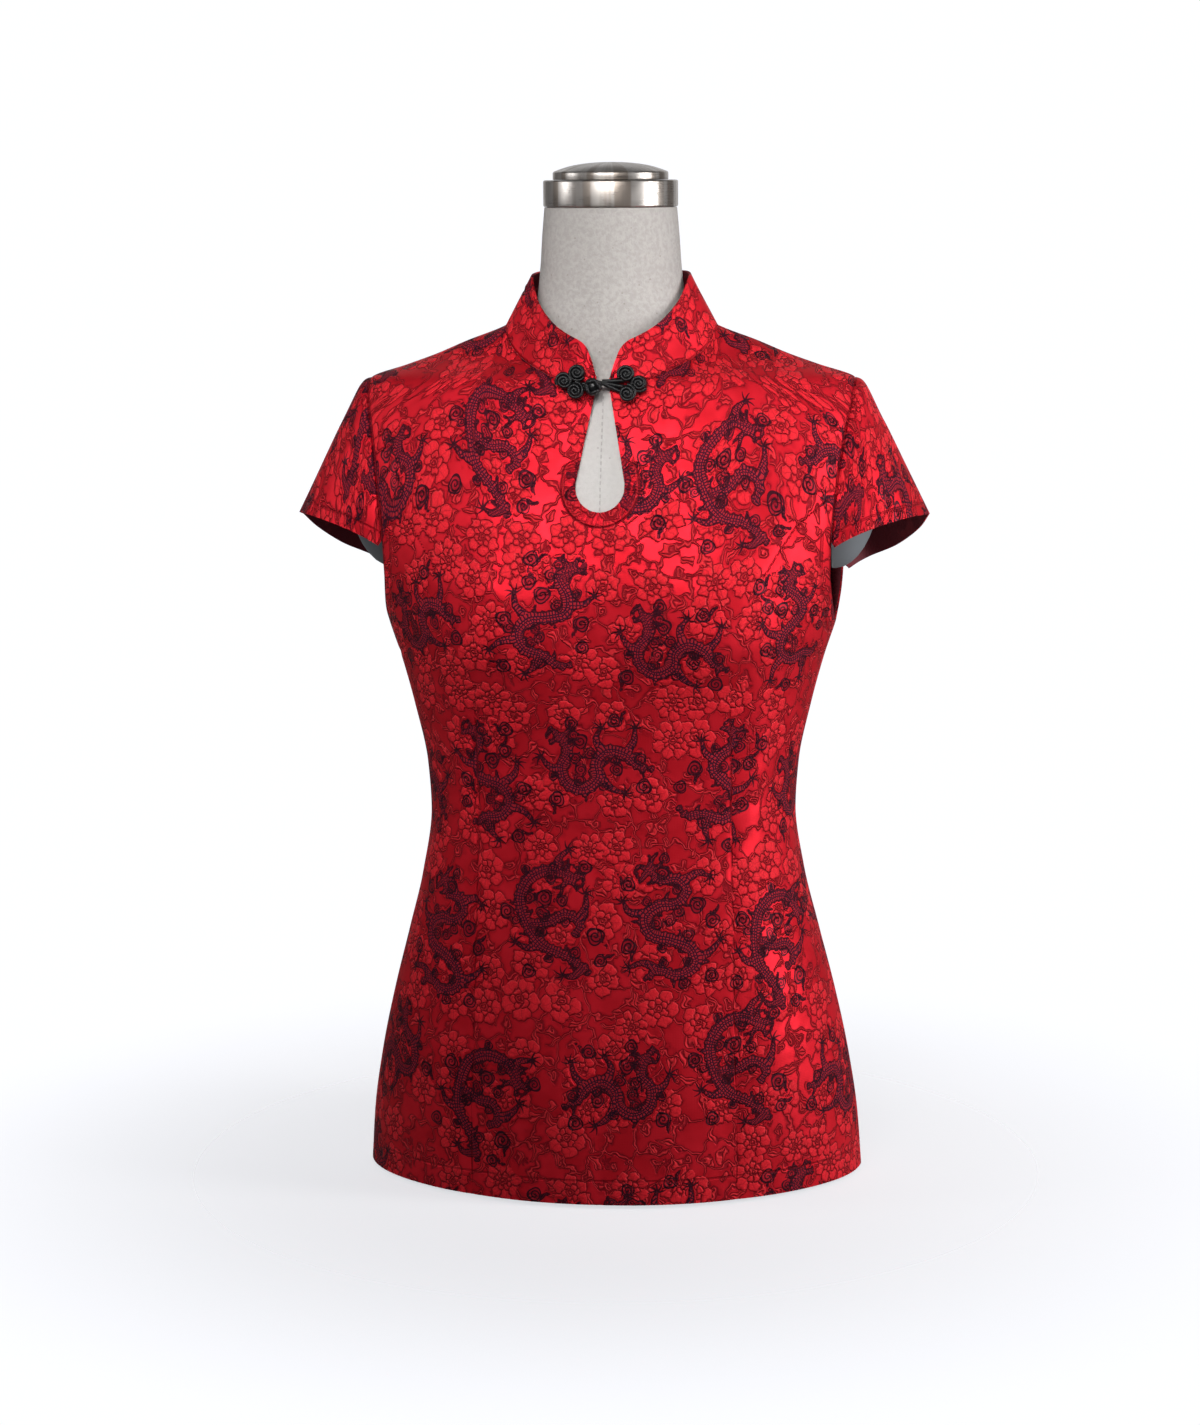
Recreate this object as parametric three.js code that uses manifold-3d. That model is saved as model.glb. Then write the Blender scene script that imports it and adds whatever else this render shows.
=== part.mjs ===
// Cheongsam top on a limbless dress form, in millimetres, +Z up.
// The wearer faces -Y, so the wearer's left side is +X. The form stands on z = 0.
import * as THREE from 'three';
import Module from 'manifold-3d';

const wasm = await Module();
wasm.setup();

// ---- driving sizes ----
const clothWall = 1.4;
const collarWall = 1.8;
const seamGap = 0.36;
const hemLevel = 3;
const underarmLevel = 425;
const shoulderTipLevel = 607;
const neckPointLevel = 646;
const bustLevel = 432;
const bustApart = 90;
const bustRise = 16;
const keyholeLevel = 535;
const keyholeHalf = 17.9;
const keyholeDrop = 18.4;
const neckGapHalf = 4.5;
const neckFrontLevel = 606.5;
const capRadius = 50.2;
const capLevel = 733.4;
const capHeight = 19.6;
const capTopRadius = 43;
const capCentreY = 7;
const armCutHalf = 165;
const shoulderLift = 2.6;
const loopCord = 1.5;

// Level sections of the cloth. half is the half width, front and back are depths from ridge,
// the Y of the side and shoulder seams, and square is the power of the rounded section.
const clothSections = [
  { z: 0, half: 190.4, front: 121, back: 128, ridge: 0, square: 1.88 },
  { z: 45, half: 187, front: 120, back: 127, ridge: 0, square: 1.95 },
  { z: 93, half: 179.6, front: 117, back: 122, ridge: 0, square: 2.05 },
  { z: 140, half: 169.4, front: 112, back: 115, ridge: 0, square: 2.12 },
  { z: 188, half: 157, front: 106, back: 105, ridge: 0, square: 2.2 },
  { z: 235, half: 145.4, front: 101, back: 96, ridge: 0, square: 2.25 },
  { z: 282, half: 138.8, front: 97, back: 90, ridge: 0, square: 2.3 },
  { z: 317, half: 141, front: 99, back: 90, ridge: 1, square: 2.3 },
  { z: 363, half: 150.5, front: 106, back: 94, ridge: 2, square: 2.3 },
  { z: 400, half: 160.5, front: 115, back: 98, ridge: 3, square: 2.25 },
  { z: 425, half: 168.8, front: 120, back: 101, ridge: 4, square: 2.25 },
  { z: 450, half: 176, front: 121, back: 104, ridge: 5, square: 2.3 },
  { z: 490, half: 186, front: 116, back: 106, ridge: 5, square: 2.3 },
  { z: 526, half: 192, front: 107, back: 105, ridge: 6, square: 2.3 },
  { z: 571, half: 192, front: 91, back: 98, ridge: 8, square: 2.3 },
  { z: 595, half: 188, front: 81, back: 87, ridge: 8, square: 2.1 },
  { z: 607, half: 182, front: 76, back: 78, ridge: 8, square: 1.95 },
  { z: 617, half: 154, front: 60, back: 69, ridge: 8, square: 1.85 },
  { z: 624.5, half: 133, front: 43, back: 63, ridge: 8, square: 1.8 },
  { z: 635, half: 108, front: 31, back: 57, ridge: 8, square: 1.85 },
  { z: 644, half: 84, front: 26, back: 54, ridge: 8, square: 2 },
  { z: 650, half: 72, front: 25, back: 54, ridge: 8, square: 2 },
  { z: 657, half: 62, front: 25, back: 54, ridge: 8, square: 2 },
];

// Half width of the front and back panels where the sleeve is set in.
const armholeEdge = [
  { z: 425, front: 168.8, back: 168.8 },
  { z: 436, front: 168, back: 170.9 },
  { z: 450, front: 166.6, back: 172.8 },
  { z: 465, front: 165.6, back: 173.6 },
  { z: 490, front: 166, back: 172.4 },
  { z: 526, front: 169, back: 172.6 },
  { z: 571, front: 175.4, back: 176.6 },
  { z: 595, front: 180.4, back: 180.6 },
  { z: 607, front: 182, back: 182 },
];

// Front neckline from the keyhole to the neck point, and the back one from the centre.
const frontNeck = [
  { x: 4.5, z: 606.5 },
  { x: 18, z: 607.4 },
  { x: 35, z: 610.4 },
  { x: 50.6, z: 616.6 },
  { x: 66.4, z: 625.2 },
  { x: 75.4, z: 635.4 },
];
const backNeck = [
  { x: 0, z: 648.8 },
  { x: 32, z: 648.4 },
  { x: 56, z: 647.6 },
  { x: 71, z: 646.8 },
];

// Top edge of the collar beside the base points of the two necklines.
const collarTop = [
  { at: 0, x: 7.5, y: -62, z: 636 },
  { at: 0.1, x: 17, y: -58.5, z: 638 },
  { at: 0.2, x: 30, y: -51, z: 643.5 },
  { at: 0.3, x: 44, y: -37, z: 653.5 },
  { at: 0.4, x: 54.5, y: -18, z: 667.5 },
  { at: 0.5, x: 59.8, y: 5, z: 683 },
  { at: 0.65, x: 54, y: 35, z: 685 },
  { at: 0.8, x: 35, y: 57, z: 685 },
  { at: 1, x: 0, y: 66, z: 684.4 },
];

// Hem of a cap sleeve from its front end, over the shoulder line, to its back end.
const sleeveHem = [
  { at: 0, x: 168.6, y: -60, z: 487 },
  { at: 0.13, x: 184, y: -57, z: 495 },
  { at: 0.27, x: 206, y: -46, z: 502.5 },
  { at: 0.4, x: 228, y: -24, z: 506.5 },
  { at: 0.5, x: 238.4, y: 4, z: 505.4 },
  { at: 0.62, x: 233, y: 30, z: 494 },
  { at: 0.76, x: 215, y: 52, z: 477 },
  { at: 0.89, x: 192, y: 61, z: 466 },
  { at: 1, x: 176.6, y: 52, z: 459 },
];

// How far the form stands inside the cloth at each level.
const formEase = [
  { z: 0, side: 34, front: 30, back: 32 },
  { z: 12, side: 22, front: 18, back: 19 },
  { z: 45, side: 15, front: 11, back: 13 },
  { z: 140, side: 9, front: 7.5, back: 8 },
  { z: 282, side: 7.5, front: 7, back: 7 },
  { z: 363, side: 6, front: 5, back: 5.5 },
  { z: 425, side: 5.5, front: 3.2, back: 4 },
  { z: 500, side: 4, front: 2.8, back: 3.2 },
  { z: 590, side: 3, front: 5, back: 3.2 },
  { z: 607, side: 3, front: 5.6, back: 3.6 },
  { z: 632, side: 5.4, front: 4.8, back: 5.4 },
  { z: 644, side: 7, front: 4.8, back: 6 },
  { z: 657, side: 4.6, front: 3.4, back: 5 },
];

// The form is cut off flat at the arms.
const armCut = [
  { z: 425, half: 190 },
  { z: 440, half: 163 },
  { z: 455, half: 162 },
  { z: 468, half: 163 },
  { z: 482, half: armCutHalf },
  { z: 607, half: armCutHalf },
  { z: 620, half: 190 },
];

// The neck of the form, with the same columns as the cloth sections.
const neckSections = [
  { z: 575, half: 44, front: 36, back: 34, ridge: 8 },
  { z: 607, half: 54, front: 57, back: 46, ridge: 8 },
  { z: 622, half: 57, front: 58, back: 47, ridge: 8 },
  { z: 640, half: 58, front: 56, back: 47, ridge: 8 },
  { z: 657, half: 57, front: 54, back: 47, ridge: 8 },
  { z: 672, half: 54.6, front: 52, back: 46.5, ridge: 7.5 },
  { z: 691, half: 52.6, front: 50.6, back: 47, ridge: 7 },
  { z: 712, half: 51.2, front: 49.6, back: 47.5, ridge: 7 },
  { z: 733, half: 49.4, front: 48, back: 48, ridge: 7 },
];

// Coils of the two flowers as x, z and radius.
const rightFlower = [[-29, 609.4, 6.5], [-20, 615.6, 6.5], [-20.6, 603.4, 6.5], [-14.6, 604.8, 4.2]];
const leftFlower = [[17.4, 614.6, 6.5], [26.4, 608, 6.5], [18.4, 601.6, 6.5]];

const colours = {
  brocade: 0xb5121f,
  collar: 0xb8141f,
  cord: 0x141214,
  linen: 0xd6d2cc,
  steel: 0xb9b9b6,
  plate: 0x777c82,
};

// ---- reading the tables ----
function smoothAt(rows, key, value, column) {
  // A cubic through the rows with slopes limited so that it doesn't overshoot.
  const last = rows.length - 1;
  let k = 0;
  while (k < last - 1 && rows[k + 1][key] < value) {
    k += 1;
  }
  const slope = (i) => {
    const j = Math.min(Math.max(i, 0), last - 1);
    return (rows[j + 1][column] - rows[j][column]) / (rows[j + 1][key] - rows[j][key]);
  };
  const tangent = (i) => {
    const before = slope(i - 1);
    const after = slope(i);
    return before * after <= 0 ? 0 : (2 * before * after) / (before + after);
  };
  const from = rows[k];
  const to = rows[k + 1];
  const span = to[key] - from[key];
  const f = Math.min(Math.max((value - from[key]) / span, 0), 1);
  const rise = f * f * (3 - 2 * f);
  const lift = f * (1 - f) * (1 - f) * tangent(k) * span;
  const fall = f * f * (f - 1) * tangent(k + 1) * span;
  return from[column] * (1 - rise) + to[column] * rise + lift + fall;
}

function sectionAt(rows, z) {
  const section = {};
  for (const column of Object.keys(rows[0])) {
    section[column] = column === 'z' ? z : smoothAt(rows, 'z', z, column);
  }
  return section;
}

function roundedDepth(x, half, power) {
  const f = Math.min(Math.abs(x) / half, 1);
  return (1 - f ** power) ** (1 / power);
}

function bustAt(x, z) {
  const across = (Math.abs(x) - bustApart) / 50;
  const up = (z - bustLevel) / (z > bustLevel ? 74 : 52);
  return bustRise * Math.exp(-across * across - up * up);
}

// Y of the cloth at x and z, on the front (side -1) or the back (side 1).
function clothY(x, z, side) {
  const s = sectionAt(clothSections, z);
  const depth = side < 0 ? s.front : s.back;
  const round = roundedDepth(x, s.half, s.square);
  const bust = side < 0 ? bustAt(x, z) * Math.min(1, round * 2) : 0;
  return s.ridge + side * (depth * round + bust);
}

// ---- thin cloth from a grid of points ----
function vertexNormals(points, triangles) {
  const normals = points.map(() => new THREE.Vector3());
  for (const [a, b, c] of triangles) {
    const side = new THREE.Vector3().subVectors(points[b], points[a]);
    const other = new THREE.Vector3().subVectors(points[c], points[a]);
    const normal = side.cross(other);
    normals[a].add(normal);
    normals[b].add(normal);
    normals[c].add(normal);
  }
  return normals.map((n) => n.normalize());
}

// Joins a sheet to its inner face along every open edge. A point on a side or shoulder seam
// keeps its wall square to the seam.
function thicken(points, triangles, wall, onSeam = () => false) {
  const normals = vertexNormals(points, triangles);
  normals.forEach((n, i) => {
    if (onSeam(points[i])) {
      n.y = 0;
      n.normalize();
    }
  });
  const count = points.length;
  const inner = points.map((p, i) => p.clone().addScaledVector(normals[i], -wall));
  const faces = triangles.map((t) => [...t]);
  const edges = new Map();
  for (const [a, b, c] of triangles) {
    faces.push([a + count, c + count, b + count]);
    for (const [from, to] of [[a, b], [b, c], [c, a]]) {
      edges.set(`${from},${to}`, [from, to]);
    }
  }
  for (const [from, to] of edges.values()) {
    if (!edges.has(`${to},${from}`)) {
      faces.push([to, from, from + count]);
      faces.push([to, from + count, to + count]);
    }
  }
  return { points: [...points, ...inner], triangles: faces };
}

function geometryOf(solid) {
  const geometry = new THREE.BufferGeometry();
  const flat = solid.points.flatMap((p) => [p.x, p.y, p.z]);
  geometry.setAttribute('position', new THREE.Float32BufferAttribute(flat, 3));
  geometry.setIndex(solid.triangles.flat());
  geometry.computeVertexNormals();
  return geometry;
}

function meshOf(name, geometry, colour, roughness, metalness) {
  const material = new THREE.MeshStandardMaterial({ color: colour, roughness, metalness });
  const mesh = new THREE.Mesh(geometry, material);
  mesh.name = name;
  return mesh;
}

function gridTriangles(columns, rows, indexAt, flip) {
  const triangles = [];
  for (let j = 0; j < rows; j += 1) {
    for (let i = 0; i < columns; i += 1) {
      const a = indexAt(i, j);
      const b = indexAt(i + 1, j);
      const c = indexAt(i + 1, j + 1);
      const d = indexAt(i, j + 1);
      const pair = flip ? [[a, c, b], [a, d, c]] : [[a, b, c], [a, c, d]];
      triangles.push(...pair);
    }
  }
  return triangles.filter(([a, b, c]) => a !== b && b !== c && c !== a);
}

// ---- edges of the panels, as x and z ----
function along(points, f) {
  const rows = points.map((p, i) => ({ at: i, x: p.x, z: p.z }));
  const at = f * (points.length - 1);
  return { x: smoothAt(rows, 'at', at, 'x'), z: smoothAt(rows, 'at', at, 'z') };
}

function neckEdge(f, side) {
  const start = side < 0 ? frontNeck : backNeck;
  const half = sectionAt(clothSections, neckPointLevel).half;
  return along([...start, { x: half, z: neckPointLevel }], f);
}

const neckShare = 0.5;

// From the centre (f = 0) along the neckline and the shoulder seam to the tip (f = 1).
function topEdge(f, side) {
  if (f <= neckShare) {
    return neckEdge(f / neckShare, side);
  }
  const g = (f - neckShare) / (1 - neckShare);
  const z = neckPointLevel + (shoulderTipLevel - neckPointLevel) * g;
  return { x: sectionAt(clothSections, z).half, z };
}

function armEdge(f, side) {
  const z = underarmLevel + (shoulderTipLevel - underarmLevel) * f;
  return { x: smoothAt(armholeEdge, 'z', z, side < 0 ? 'front' : 'back'), z };
}

const keyholeShare = 0.42;

// Up the centre: on the front it parts at the foot of the keyhole and follows its edge.
function centreEdge(f, side) {
  if (side > 0) {
    return { x: 0, z: underarmLevel + (backNeck[0].z - underarmLevel) * f };
  }
  const foot = keyholeLevel - keyholeDrop;
  if (f <= keyholeShare) {
    return { x: 0, z: underarmLevel + ((foot - underarmLevel) * f) / keyholeShare };
  }
  const g = (f - keyholeShare) / (1 - keyholeShare);
  if (g < 0.45) {
    const turn = (g / 0.45) * (Math.PI / 2 + 0.14);
    return { x: keyholeHalf * Math.sin(turn), z: keyholeLevel - keyholeDrop * Math.cos(turn) };
  }
  const h = (g - 0.45) / 0.55;
  const endX = keyholeHalf * Math.cos(0.14);
  const endZ = keyholeLevel + keyholeDrop * Math.sin(0.14);
  return { x: endX + (neckGapHalf - endX) * h, z: endZ + (neckFrontLevel - endZ) * h };
}

// ---- body panels ----
const lowerLevels = [hemLevel, 40, 80, 120, 160, 195, 228, 260, 290, 320, 346, 368, 386, 400, 413,
  underarmLevel];
const lowerRows = lowerLevels.length - 1;
const upperRows = 18;
const halfColumns = 14;

function lowerPoint(u, level, side) {
  const s = sectionAt(clothSections, level);
  const x = s.half * Math.sin((u * Math.PI) / 2) ** (2 / s.square);
  return new THREE.Vector3(x, clothY(x, level, side) + (side * seamGap) / 2, level);
}

// The upper half panel is spanned between its four edges in x and z.
function upperPoint(u, v, side) {
  const start = lowerPoint(u, underarmLevel, side);
  const end = topEdge(u, side);
  const left = centreEdge(v, side);
  const right = armEdge(v, side);
  const corner = { a: lowerPoint(0, underarmLevel, side), b: lowerPoint(1, underarmLevel, side) };
  const tip = topEdge(1, side);
  const neck = topEdge(0, side);
  const mix = (axis) => {
    const across = left[axis] * (1 - u) + right[axis] * u;
    const up = start[axis] * (1 - v) + end[axis] * v;
    const low = corner.a[axis] * (1 - u) + corner.b[axis] * u;
    const high = neck[axis] * (1 - u) + tip[axis] * u;
    return across + up - low * (1 - v) - high * v;
  };
  const x = mix('x');
  const z = mix('z');
  return new THREE.Vector3(x, clothY(x, z, side) + (side * seamGap) / 2, z);
}

function keyholeRow() {
  return lowerRows + Math.round(upperRows * 0.44);
}

function upperShare(row) {
  const f = row / upperRows;
  const foot = (keyholeRow() - lowerRows) / upperRows;
  if (f <= foot) {
    return (f / foot) * keyholeShare;
  }
  const g = (f - foot) / (1 - foot);
  return keyholeShare + (1 - keyholeShare) * (g * 1.25 - 0.25 * g * g);
}

function panelPoint(column, row, side) {
  const u = column / halfColumns;
  if (row <= lowerRows) {
    return lowerPoint(u, lowerLevels[row], side);
  }
  return upperPoint(u, upperShare(row - lowerRows), side);
}

function buildPanel(name, side) {
  const rows = lowerRows + upperRows;
  const points = [];
  const indices = new Map();
  const splitRow = side < 0 ? keyholeRow() : rows;
  const indexOf = (hand) => (column, row) => {
    const shared = column === 0 && row <= splitRow;
    const key = `${shared ? 0 : hand},${column},${row}`;
    if (!indices.has(key)) {
      const p = panelPoint(column, row, side);
      indices.set(key, points.length);
      points.push(new THREE.Vector3(p.x * hand, p.y, p.z));
    }
    return indices.get(key);
  };
  const triangles = [
    ...gridTriangles(halfColumns, rows, indexOf(1), side > 0),
    ...gridTriangles(halfColumns, rows, indexOf(-1), side < 0),
  ];
  const onSeam = (p) => {
    const seam = sectionAt(clothSections, p.z).ridge + (side * seamGap) / 2;
    return Math.abs(p.y - seam) < 0.2;
  };
  const solid = thicken(points, triangles, clothWall, onSeam);
  return meshOf(name, geometryOf(solid), colours.brocade, 0.45, 0);
}

// ---- cap sleeves ----
const sleeveColumns = 26;
const sleeveSteps = [0, 0.03, 0.08, 0.16, 0.28, 0.43, 0.6, 0.8, 1];

function armholePoint(f) {
  // From the front end of the sleeve (f = 0) over the shoulder tip to its back end (f = 1).
  const side = f < 0.5 ? -1 : 1;
  const foot = side < 0 ? 490 : 462;
  const g = Math.abs(f - 0.5) * 2;
  const z = shoulderTipLevel - (shoulderTipLevel - foot) * g ** 1.15;
  const x = smoothAt(armholeEdge, 'z', z, side < 0 ? 'front' : 'back');
  return new THREE.Vector3(x, clothY(x, z, side), z);
}

function sleevePoint(f, q) {
  const start = armholePoint(f);
  start.x += 0.75;
  const end = new THREE.Vector3(
    smoothAt(sleeveHem, 'at', f, 'x'),
    smoothAt(sleeveHem, 'at', f, 'y'),
    smoothAt(sleeveHem, 'at', f, 'z'),
  );
  const drop = start.distanceTo(end);
  const point = start.clone().lerp(end, q);
  const swell = 5.4 * Math.min(1, drop / 90) * (1 - q) * (1 - Math.exp(-q / 0.03));
  const round = 5 * Math.min(1, drop / 90) * Math.sin(Math.PI * q);
  const outward = new THREE.Vector3(0.88, Math.sin((f - 0.5) * Math.PI) * 0.55, 0.47).normalize();
  point.addScaledVector(outward, swell);
  point.y += round * Math.sin((f - 0.5) * Math.PI * 1.6);
  return point;
}

function buildSleeve(name, hand) {
  const points = [];
  for (const q of sleeveSteps) {
    for (let i = 0; i <= sleeveColumns; i += 1) {
      const p = sleevePoint(i / sleeveColumns, q);
      points.push(new THREE.Vector3(p.x * hand, p.y, p.z));
    }
  }
  const indexAt = (i, j) => j * (sleeveColumns + 1) + i;
  const triangles = gridTriangles(sleeveColumns, sleeveSteps.length - 1, indexAt, hand > 0);
  const solid = thicken(points, triangles, clothWall);
  return meshOf(name, geometryOf(solid), colours.brocade, 0.45, 0);
}

// ---- collar ----
const collarSteps = [0, 0.02, 0.045, 0.075, 0.11, 0.15, 0.2, 0.26, 0.32, 0.38, 0.44, 0.5,
  0.57, 0.64, 0.72, 0.8, 0.87, 0.94, 1];
const collarRows = 5;

function neckPoint(f) {
  // From the front end of the collar (f = 0) past the neck point (f = 0.5) to the centre back.
  const side = f < 0.5 ? -1 : 1;
  const edge = neckEdge(side < 0 ? f * 2 : 2 - f * 2, side);
  return new THREE.Vector3(edge.x, clothY(edge.x, edge.z, side), edge.z);
}

function collarPoint(f, q) {
  const base = neckPoint(f);
  const top = new THREE.Vector3(
    smoothAt(collarTop, 'at', f, 'x'),
    smoothAt(collarTop, 'at', f, 'y'),
    smoothAt(collarTop, 'at', f, 'z'),
  );
  const fromEnd = Math.max(base.x - neckGapHalf, 0);
  const share = f < 0.4 ? 1 - 0.84 * Math.exp(-fromEnd / 5.2) : 1;
  const rise = top.clone().sub(base);
  const clear = rise.clone().setLength(1);
  return base.add(clear).addScaledVector(rise, share * q);
}

function buildCollar() {
  const points = [];
  const halves = collarSteps.length - 1;
  for (let j = 0; j <= collarRows; j += 1) {
    for (let i = -halves; i <= halves; i += 1) {
      const p = collarPoint(collarSteps[halves - Math.abs(i)], j / collarRows);
      points.push(new THREE.Vector3(i < 0 ? -p.x : p.x, p.y, p.z));
    }
  }
  const indexAt = (i, j) => j * (halves * 2 + 1) + i;
  const triangles = gridTriangles(halves * 2, collarRows, indexAt, true);
  const solid = thicken(points, triangles, collarWall);
  return meshOf('collar', geometryOf(solid), colours.collar, 0.45, 0);
}

// ---- the dress form ----
const formAround = 38;
const formLevels = [0, 5, 14, 40, 75, 110, 145, 180, 215, 248, 280, 312, 342, 370, 394, 414, 434,
  452, 466, 482, 508, 534, 560, 582, 596, 604, 611, 618, 625, 632, 638, 643, 649, 656, 668, 690, 712,
  733];

function softLimit(value, limit) {
  return value - 2 * Math.log(1 + Math.exp((value - limit) / 2));
}

function formPoint(turn, z) {
  const lift = shoulderLift * THREE.MathUtils.smoothstep(z, 575, 605);
  const cloth = sectionAt(clothSections, Math.min(z + lift, 657));
  const ease = sectionAt(formEase, Math.min(z, 657));
  const neck = sectionAt(neckSections, Math.max(z, 575));
  const side = Math.cos(turn) > 0 ? -1 : 1;
  const shoulders = z < 657;
  const half = shoulders ? Math.max(cloth.half - ease.side, neck.half) : neck.half;
  const power = shoulders ? cloth.square : 2;
  const sign = Math.sin(turn) < 0 ? -1 : 1;
  const x = half * Math.abs(Math.sin(turn)) ** (2 / power);
  const clothDepth = side < 0 ? cloth.front - ease.front : cloth.back - ease.back;
  const bust = side < 0 ? bustAt(x, z) : 0;
  const round = roundedDepth(x, half, power);
  const trunk = shoulders ? (clothDepth + bust * Math.min(1, round * 2)) * round : 0;
  const neckRound = z >= 575 ? roundedDepth(x, neck.half, 2) : 0;
  const throat = (side < 0 ? neck.front : neck.back) * neckRound;
  const depth = Math.log(Math.exp(trunk / 1.6) + Math.exp(throat / 1.6) - 1) * 1.6;
  const limit = z < 425 || z > 620 ? 400 : smoothAt(armCut, 'z', z, 'half');
  const ridge = shoulders ? cloth.ridge : neck.ridge;
  return new THREE.Vector3(sign * softLimit(x, limit), ridge + side * depth, z);
}

function buildForm() {
  const points = [];
  for (const z of formLevels) {
    for (let i = 0; i < formAround; i += 1) {
      points.push(formPoint(((i + 0.5) / formAround) * Math.PI * 2, z));
    }
  }
  const indexAt = (i, j) => j * formAround + (i % formAround);
  const triangles = gridTriangles(formAround, formLevels.length - 1, indexAt, false);
  const foot = points.push(new THREE.Vector3(0, 0, 0)) - 1;
  const head = points.push(new THREE.Vector3(0, capCentreY, 733)) - 1;
  const top = formLevels.length - 1;
  for (let i = 0; i < formAround; i += 1) {
    triangles.push([indexAt(i + 1, 0), indexAt(i, 0), foot]);
    triangles.push([indexAt(i, top), indexAt(i + 1, top), head]);
  }
  return meshOf('form_torso', geometryOf({ points, triangles }), colours.linen, 0.85, 0);
}

// A closed turned solid from its profile of [radius, height], stretched along two axes.
function turned(profile, around) {
  const points = [];
  const last = profile.length - 1;
  for (let j = 1; j < last; j += 1) {
    for (let i = 0; i < around; i += 1) {
      const turn = (i / around) * Math.PI * 2;
      const [radius, height] = profile[j];
      points.push(new THREE.Vector3(radius * Math.cos(turn), radius * Math.sin(turn), height));
    }
  }
  const indexAt = (i, j) => j * around + (i % around);
  const triangles = gridTriangles(around, last - 2, indexAt, false);
  const foot = points.push(new THREE.Vector3(0, 0, profile[0][1])) - 1;
  const head = points.push(new THREE.Vector3(0, 0, profile[last][1])) - 1;
  for (let i = 0; i < around; i += 1) {
    triangles.push([indexAt(i + 1, 0), indexAt(i, 0), foot]);
    triangles.push([indexAt(i, last - 2), indexAt(i + 1, last - 2), head]);
  }
  return { points, triangles };
}

function buildCapRing() {
  const r = capRadius;
  const h = capHeight;
  const profile = [[0, 0], [r - 1.2, 0], [r, 1.2], [r, h - 2], [r - 0.7, h - 0.6], [r - 2.2, h],
    [0, h]];
  const geometry = geometryOf(turned(profile, 40));
  geometry.translate(0, capCentreY, capLevel);
  return meshOf('neck_cap_ring', geometry, colours.steel, 0.25, 1);
}

function buildCapTop() {
  const r = capTopRadius;
  const profile = [[0, 0], [r, 0], [r, 4.6], [r - 0.5, 5.6], [r - 1.8, 6.2], [r * 0.8, 8.8],
    [r * 0.56, 11.1], [r * 0.28, 12.5], [0, 12.9]];
  const geometry = geometryOf(turned(profile, 40));
  geometry.translate(0, capCentreY, capLevel + capHeight + 0.3);
  return meshOf('neck_cap_top', geometry, colours.steel, 0.2, 1);
}

// The domed plate that closes the form's arm stump: a rim, then a quarter round to its top.
const armPlate = { rim: 3.5, dome: 33, steps: 7, y: 6, z: 530, halfY: 41, halfZ: 66 };

function buildArmPlate(name, hand) {
  const { rim, dome, steps, y, z, halfY, halfZ } = armPlate;
  const profile = [[0, 0], [1, 0], [1, rim]];
  for (let k = 1; k <= steps; k += 1) {
    const turn = ((k / steps) * Math.PI) / 2;
    profile.push([Math.cos(turn), rim + dome * Math.sin(turn)]);
  }
  const solid = turned(profile, 36);
  for (const p of solid.points) {
    p.set(hand * (armCutHalf + 0.45 + p.z), y + halfY * p.x, z + halfZ * p.y);
  }
  if (hand < 0) {
    solid.triangles = solid.triangles.map(([a, b, c]) => [a, c, b]);
  }
  return meshOf(name, geometryOf(solid), colours.plate, 0.4, 0);
}

// ---- the frog fastening ----
function manifoldOf(geometry) {
  const positions = geometry.getAttribute('position');
  const index = geometry.getIndex();
  const merged = new wasm.Mesh({
    numProp: 3,
    vertProperties: new Float32Array(positions.array),
    triVerts: new Uint32Array(index.array),
  });
  return new wasm.Manifold(merged);
}

function geometryFrom(manifold) {
  const mesh = manifold.getMesh();
  const geometry = new THREE.BufferGeometry();
  const positions = new THREE.Float32BufferAttribute(mesh.vertProperties, 3);
  geometry.setAttribute('position', positions);
  geometry.setIndex([...mesh.triVerts]);
  geometry.computeVertexNormals();
  return geometry;
}

// Y that the fastening lies on: the panel below the neck seam and the collar above it.
function frogY(x, z) {
  return clothY(x, Math.min(z, neckFrontLevel), -1) + Math.max(z - neckFrontLevel, 0) * 0.42;
}

// A cushion of coiled cord: a ball pressed flat towards the cloth.
function coil(x, z, radius, around) {
  const profile = [[0, -1], [0.42, -0.9], [0.78, -0.6], [1, 0], [0.8, 0.6], [0.45, 0.9], [0, 1]];
  const solid = turned(profile.map(([r, h]) => [r * radius, h * radius * 0.72]), around);
  const y = frogY(x, z) - radius * 0.72 - 1.5;
  for (const p of solid.points) {
    p.set(x + p.x, y - p.z, z + p.y);
  }
  return geometryOf(solid);
}

function buildFlower(name, centres) {
  let whole = null;
  for (const [x, z, radius] of centres) {
    const one = manifoldOf(coil(x, z, radius, 14));
    whole = whole === null ? one : whole.add(one);
  }
  return meshOf(name, geometryFrom(whole), colours.cord, 0.8, 0);
}

function buildButton() {
  const solid = turned([[0, -1], [0.42, -0.9], [0.78, -0.6], [1, 0], [0.8, 0.6], [0.45, 0.9],
    [0, 1]].map(([r, h]) => [r * 5.6, h * 5]), 16);
  const y = clothY(8, 605, -1) - 10.9;
  for (const p of solid.points) {
    p.set(-8 + p.x, y - p.z, 605 + p.y);
  }
  return meshOf('frog_button', geometryOf(solid), colours.cord, 0.8, 0);
}

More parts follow.
